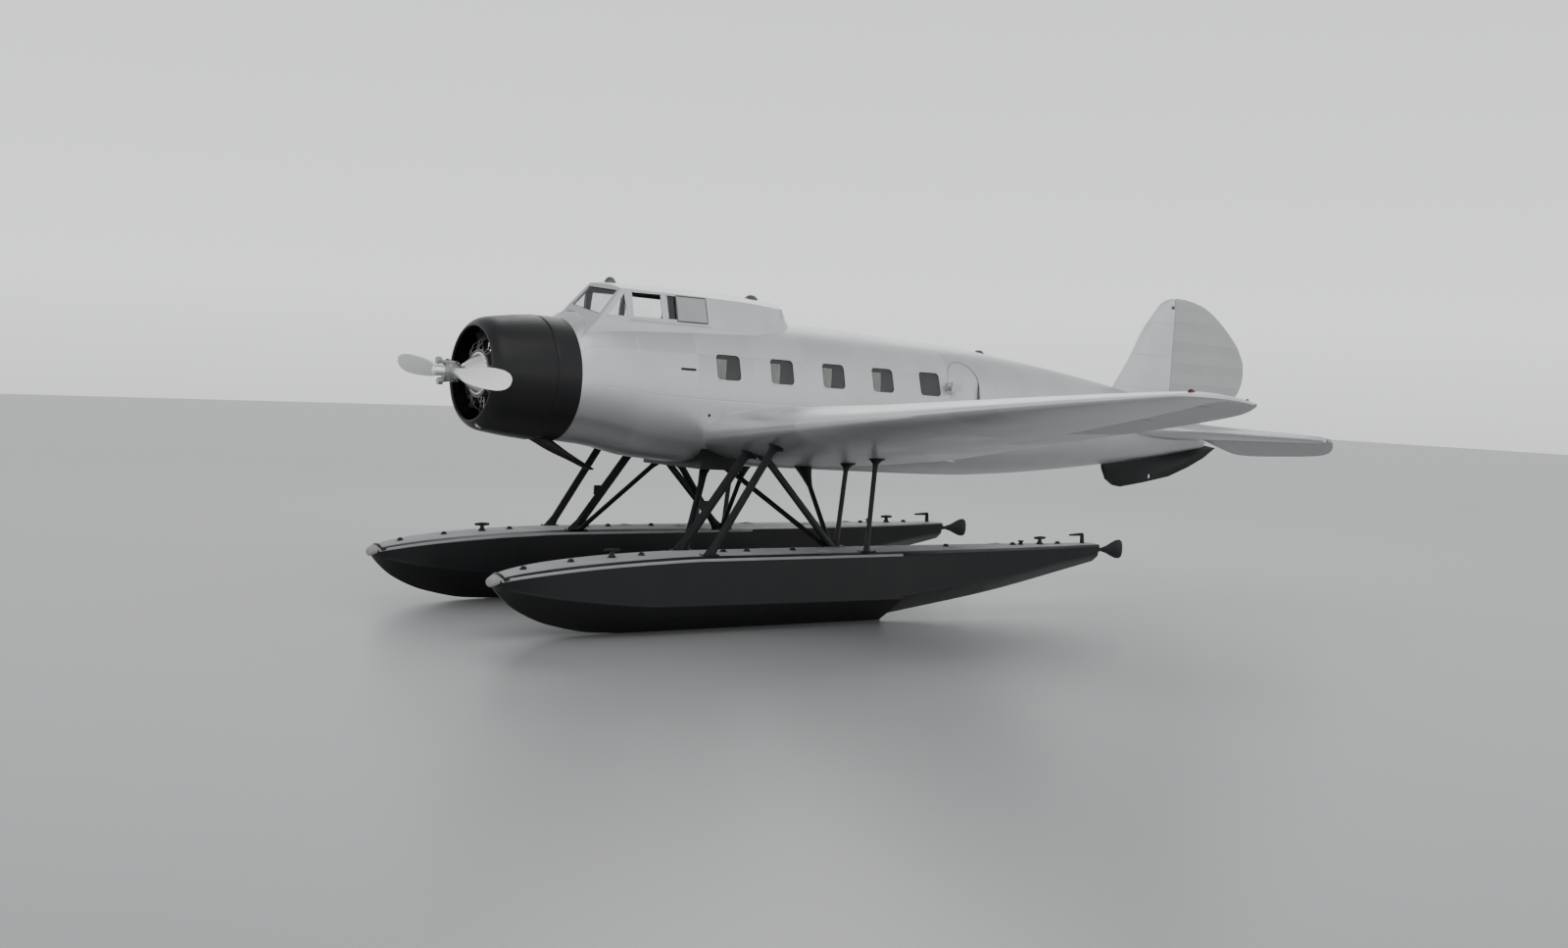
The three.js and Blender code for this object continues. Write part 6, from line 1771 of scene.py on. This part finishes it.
for side, sign in SIDES:
    middle = sign * TRACK
    stations = [*spaced(BOW, 0.25, 0.03), *spaced(0.25, 1.3, 0.07)[1:], *spaced(1.3, STEP, 0.26)[1:],
                AFT_START, *spaced(AFT_START, STERN, 0.16)[1:]]
    hull = skin(f"{side}_float_hull", [hull_ring(x, middle) for x in stations], STANDING, hull_uv, crease=14)
    hull.data.materials.append(float_black)
    fit_deck(hull, middle)
    fit(hull, stands_for=f"{side}_float")

    keel = gather(f"{side}_keel_strip", [
        [[(FLOAT_X + x, middle + y, fair(rows, x)[6] + z) for y, z in KEEL_STRIP]
         for x in spaced(start, end, 0.1)]
        for rows, start, end in ((FORE_HULL, -0.38, STEP), (AFT_HULL, AFT_START, STERN))], STANDING)
    fit(keel, made=float_black)
    # The fore deck edge strips take the deck's light grey as a painted highlight, where they catch the light;
    # the aft deck edges are black and go with the chines
    chines, edges = [], []
    for hand in (-1, 1):
        for rows, start, end in ((FORE_HULL, -0.40, STEP), (AFT_HULL, AFT_START, 8.15)):
            chines.append(strip_rings(rows, start, end, middle, hand, CHINE, CHINE_STRIP))
            strips = edges if rows is FORE_HULL else chines
            strips.append(strip_rings(rows, start, end, middle, hand, DECK_SIDE, EDGE_STRIP))
    fit(gather(f"{side}_chine_strips", chines, STANDING), made=float_black)
    # Painted highlight: the fore deck edge strips are given the deck's light grey
    fit(gather(f"{side}_deck_edge_highlight_strips", edges, STANDING), made=deck_grey)

    covers = []
    for number, x in enumerate(HANDHOLES):
        across = HANDHOLE_OFF if number % 2 else -HANDHOLE_OFF
        z = deck_height(x, across)
        x, y = FLOAT_X + x, middle + across
        for scale, rise in ((1.0, 0.005), (0.86, 0.009)):
            covers.append([[(x + math.cos(t) * HANDHOLE[0] * scale * k,
                             y + math.sin(t) * HANDHOLE[1] * scale * k, z + up)
                            for t in turns(40)]
                           for k, up in ((1.0, -0.004), (1.0, rise - 0.0015), (0.97, rise), (0.05, rise))])
        covers.append(rod_rings((x - 0.04, y, z + 0.013), (x + 0.04, y, z + 0.013), 0.006, rounding=0.002,
                                sides=12))
        for t in turns(10):
            bolt_x, bolt_y = x + math.cos(t) * 0.096, y + math.sin(t) * 0.061
            covers.append(rod_rings((bolt_x, bolt_y, z), (bolt_x, bolt_y, z + 0.008), 0.005, sides=8))
    fit(gather(f"{side}_handhole_covers", covers, STANDING), made=deck_grey)

    # Tee cleats, the stern hook, plugs, one bollard, and two eyes with a pin for the water rudder
    fittings = []
    for x in TEES:
        z = deck_height(x) - 0.006
        x += FLOAT_X
        fittings.append(spun_rings((x, middle, z), (0, 0, 1), TEE_POST, 24))
        fittings.append(spun_rings((x - TEE_BAR[-1][0] / 2, middle, z + TEE_POST[-1][0]), (1, 0, 0), TEE_BAR,
                                   24))
    x = FLOAT_X + HOOK_AT
    fittings.append(spun_rings((x, middle, 0.845), (-0.006, 0, 0.143), HOOK_POST, 20))
    fittings.append(rod_rings((x - 0.002, middle, 0.972), (FLOAT_X + HOOK_END, middle, 0.966), 0.021, 0.013,
                              rounding=0.004, sides=20))
    for x in DECK_PLUGS:
        fittings.append(spun_rings((FLOAT_X + x, middle, deck_height(x) - 0.004), (0, 0, 1), DECK_PLUG, 24))
    fittings.append(spun_rings((FLOAT_X + BOLLARD_AT, middle, deck_height(BOLLARD_AT) - 0.002), (0, 0, 1),
                               BOLLARD, 24))
    stern, pin = FLOAT_X + STERN, FLOAT_X + PIN_AT
    fittings += [box_rings(stern - 0.006, pin + 0.026, middle - 0.024, middle + 0.024, low, high)
                 for low, high in STERN_EYES]
    fittings.append(rod_rings((pin, middle, STERN_EYES[1][0]), (pin, middle, STERN_EYES[0][1]), 0.009,
                              rounding=0.002))
    fit(gather(f"{side}_deck_fittings", fittings, STANDING), made=strut_black)
    band = gather(f"{side}_bow_band", [[bow_ring(x, middle, wide, high, 40) for x, wide, high in BOW_BAND]],
                  STANDING)
    fit(band, made=strut_black)

# Bow bumpers: moulded rubber noses on the cap of each float, bleached pale by the sun and
# flattened in front. A black band holds each one on.
rubber, _ = coat("bumper_rubber_pale", (0.34, 0.34, 0.33), (12.0, 6.0), 0.7, 1.15, 0.75,
                 grain=((90.0, 3.0), 0.001))
FLATTENED = 0.76
BUMPER = [(-0.4858, 0.004, 0.003), (-0.4853, 0.030, 0.022), (-0.484, 0.050, 0.037), (-0.478, 0.070, 0.052),
          (-0.470, 0.084, 0.062), (-0.450, 0.103, 0.068), (-0.420, 0.126, 0.073), (-0.380, 0.150, 0.076)]
for side, sign in SIDES:
    nose = skin(f"{side}_bow_bumper_moulded", [bow_ring(x, sign * TRACK, wide, high * FLATTENED, 48)
                                               for x, wide, high in BUMPER], STANDING)
    fit(nose, made=rubber, stands_for=f"{side}_float_bumper")

# Water rudders: steel blades behind each stern that steer with a head on an upright pin and
# swing down about a cross pin. Each blade carries a broad teardrop plate over its core bar.
BLADE_PLATE = [(0.070, -0.030), (0.150, -0.052), (0.240, -0.092), (0.320, -0.120), (0.385, -0.124),
               (0.425, -0.096), (0.440, -0.040), (0.440, 0.040), (0.425, 0.096), (0.385, 0.124),
               (0.320, 0.118), (0.240, 0.088), (0.150, 0.048), (0.070, 0.028)]
CROSS_PIN, PLATE_HALF = (8.292, 0.768), 0.011
for name in nodes:
    if name.endswith(("_rudder_head", "_water_rudder")):
        dress(name, strut_black)
for side, sign in SIDES:
    outline = filled([(FLOAT_X + CROSS_PIN[0] + x, CROSS_PIN[1] + z) for x, z in BLADE_PLATE], 4)
    plate = gather(f"{side}_water_rudder_plates", [flat_rings(outline, PLATE_HALF, sign * TRACK, 0.004)],
                   STANDING)
    fit(plate, f"{side}_water_rudder", strut_black)

# Float struts: streamlined steel tubes between the floats and the airframe, the inner ones to
# a fitting under the belly, with bolted foot plates on the decks.
FEET = [(2.052, 1.850), (2.052, 1.227), (2.122, 1.227), (4.265, 1.227), (4.245, 1.850), (4.205, 1.197)]
FOOT_PLATE, PLATE_BOLTS = (0.105, 0.048), (0.088, 0.034)
CORNERS = ((-1, -1), (1, -1), (1, 1), (-1, 1))
for name in nodes:
    if name.endswith("_strut") or name == "belly_fitting":
        dress(name, strut_black)
plates = []
for sign in (-1, 1):
    for x, y in FEET:
        z = deck_height(x, abs(y) - TRACK)
        x, y = FLOAT_X + x, sign * y
        plates.append([[(x + cx * (FOOT_PLATE[0] - inset), y + cy * (FOOT_PLATE[1] - inset), z + up)
                        for cx, cy in CORNERS]
                       for inset, up in ((0.0, -0.012), (0.0, 0.007), (0.002, 0.009))])
        for cx, cy in CORNERS:
            bolt_x, bolt_y = x + cx * PLATE_BOLTS[0], y + cy * PLATE_BOLTS[1]
            plates.append(rod_rings((bolt_x, bolt_y, z), (bolt_x, bolt_y, z + 0.016), 0.008, rounding=0.001,
                                    sides=6))
fit(gather("strut_foot_plates", plates, STANDING), made=strut_black)
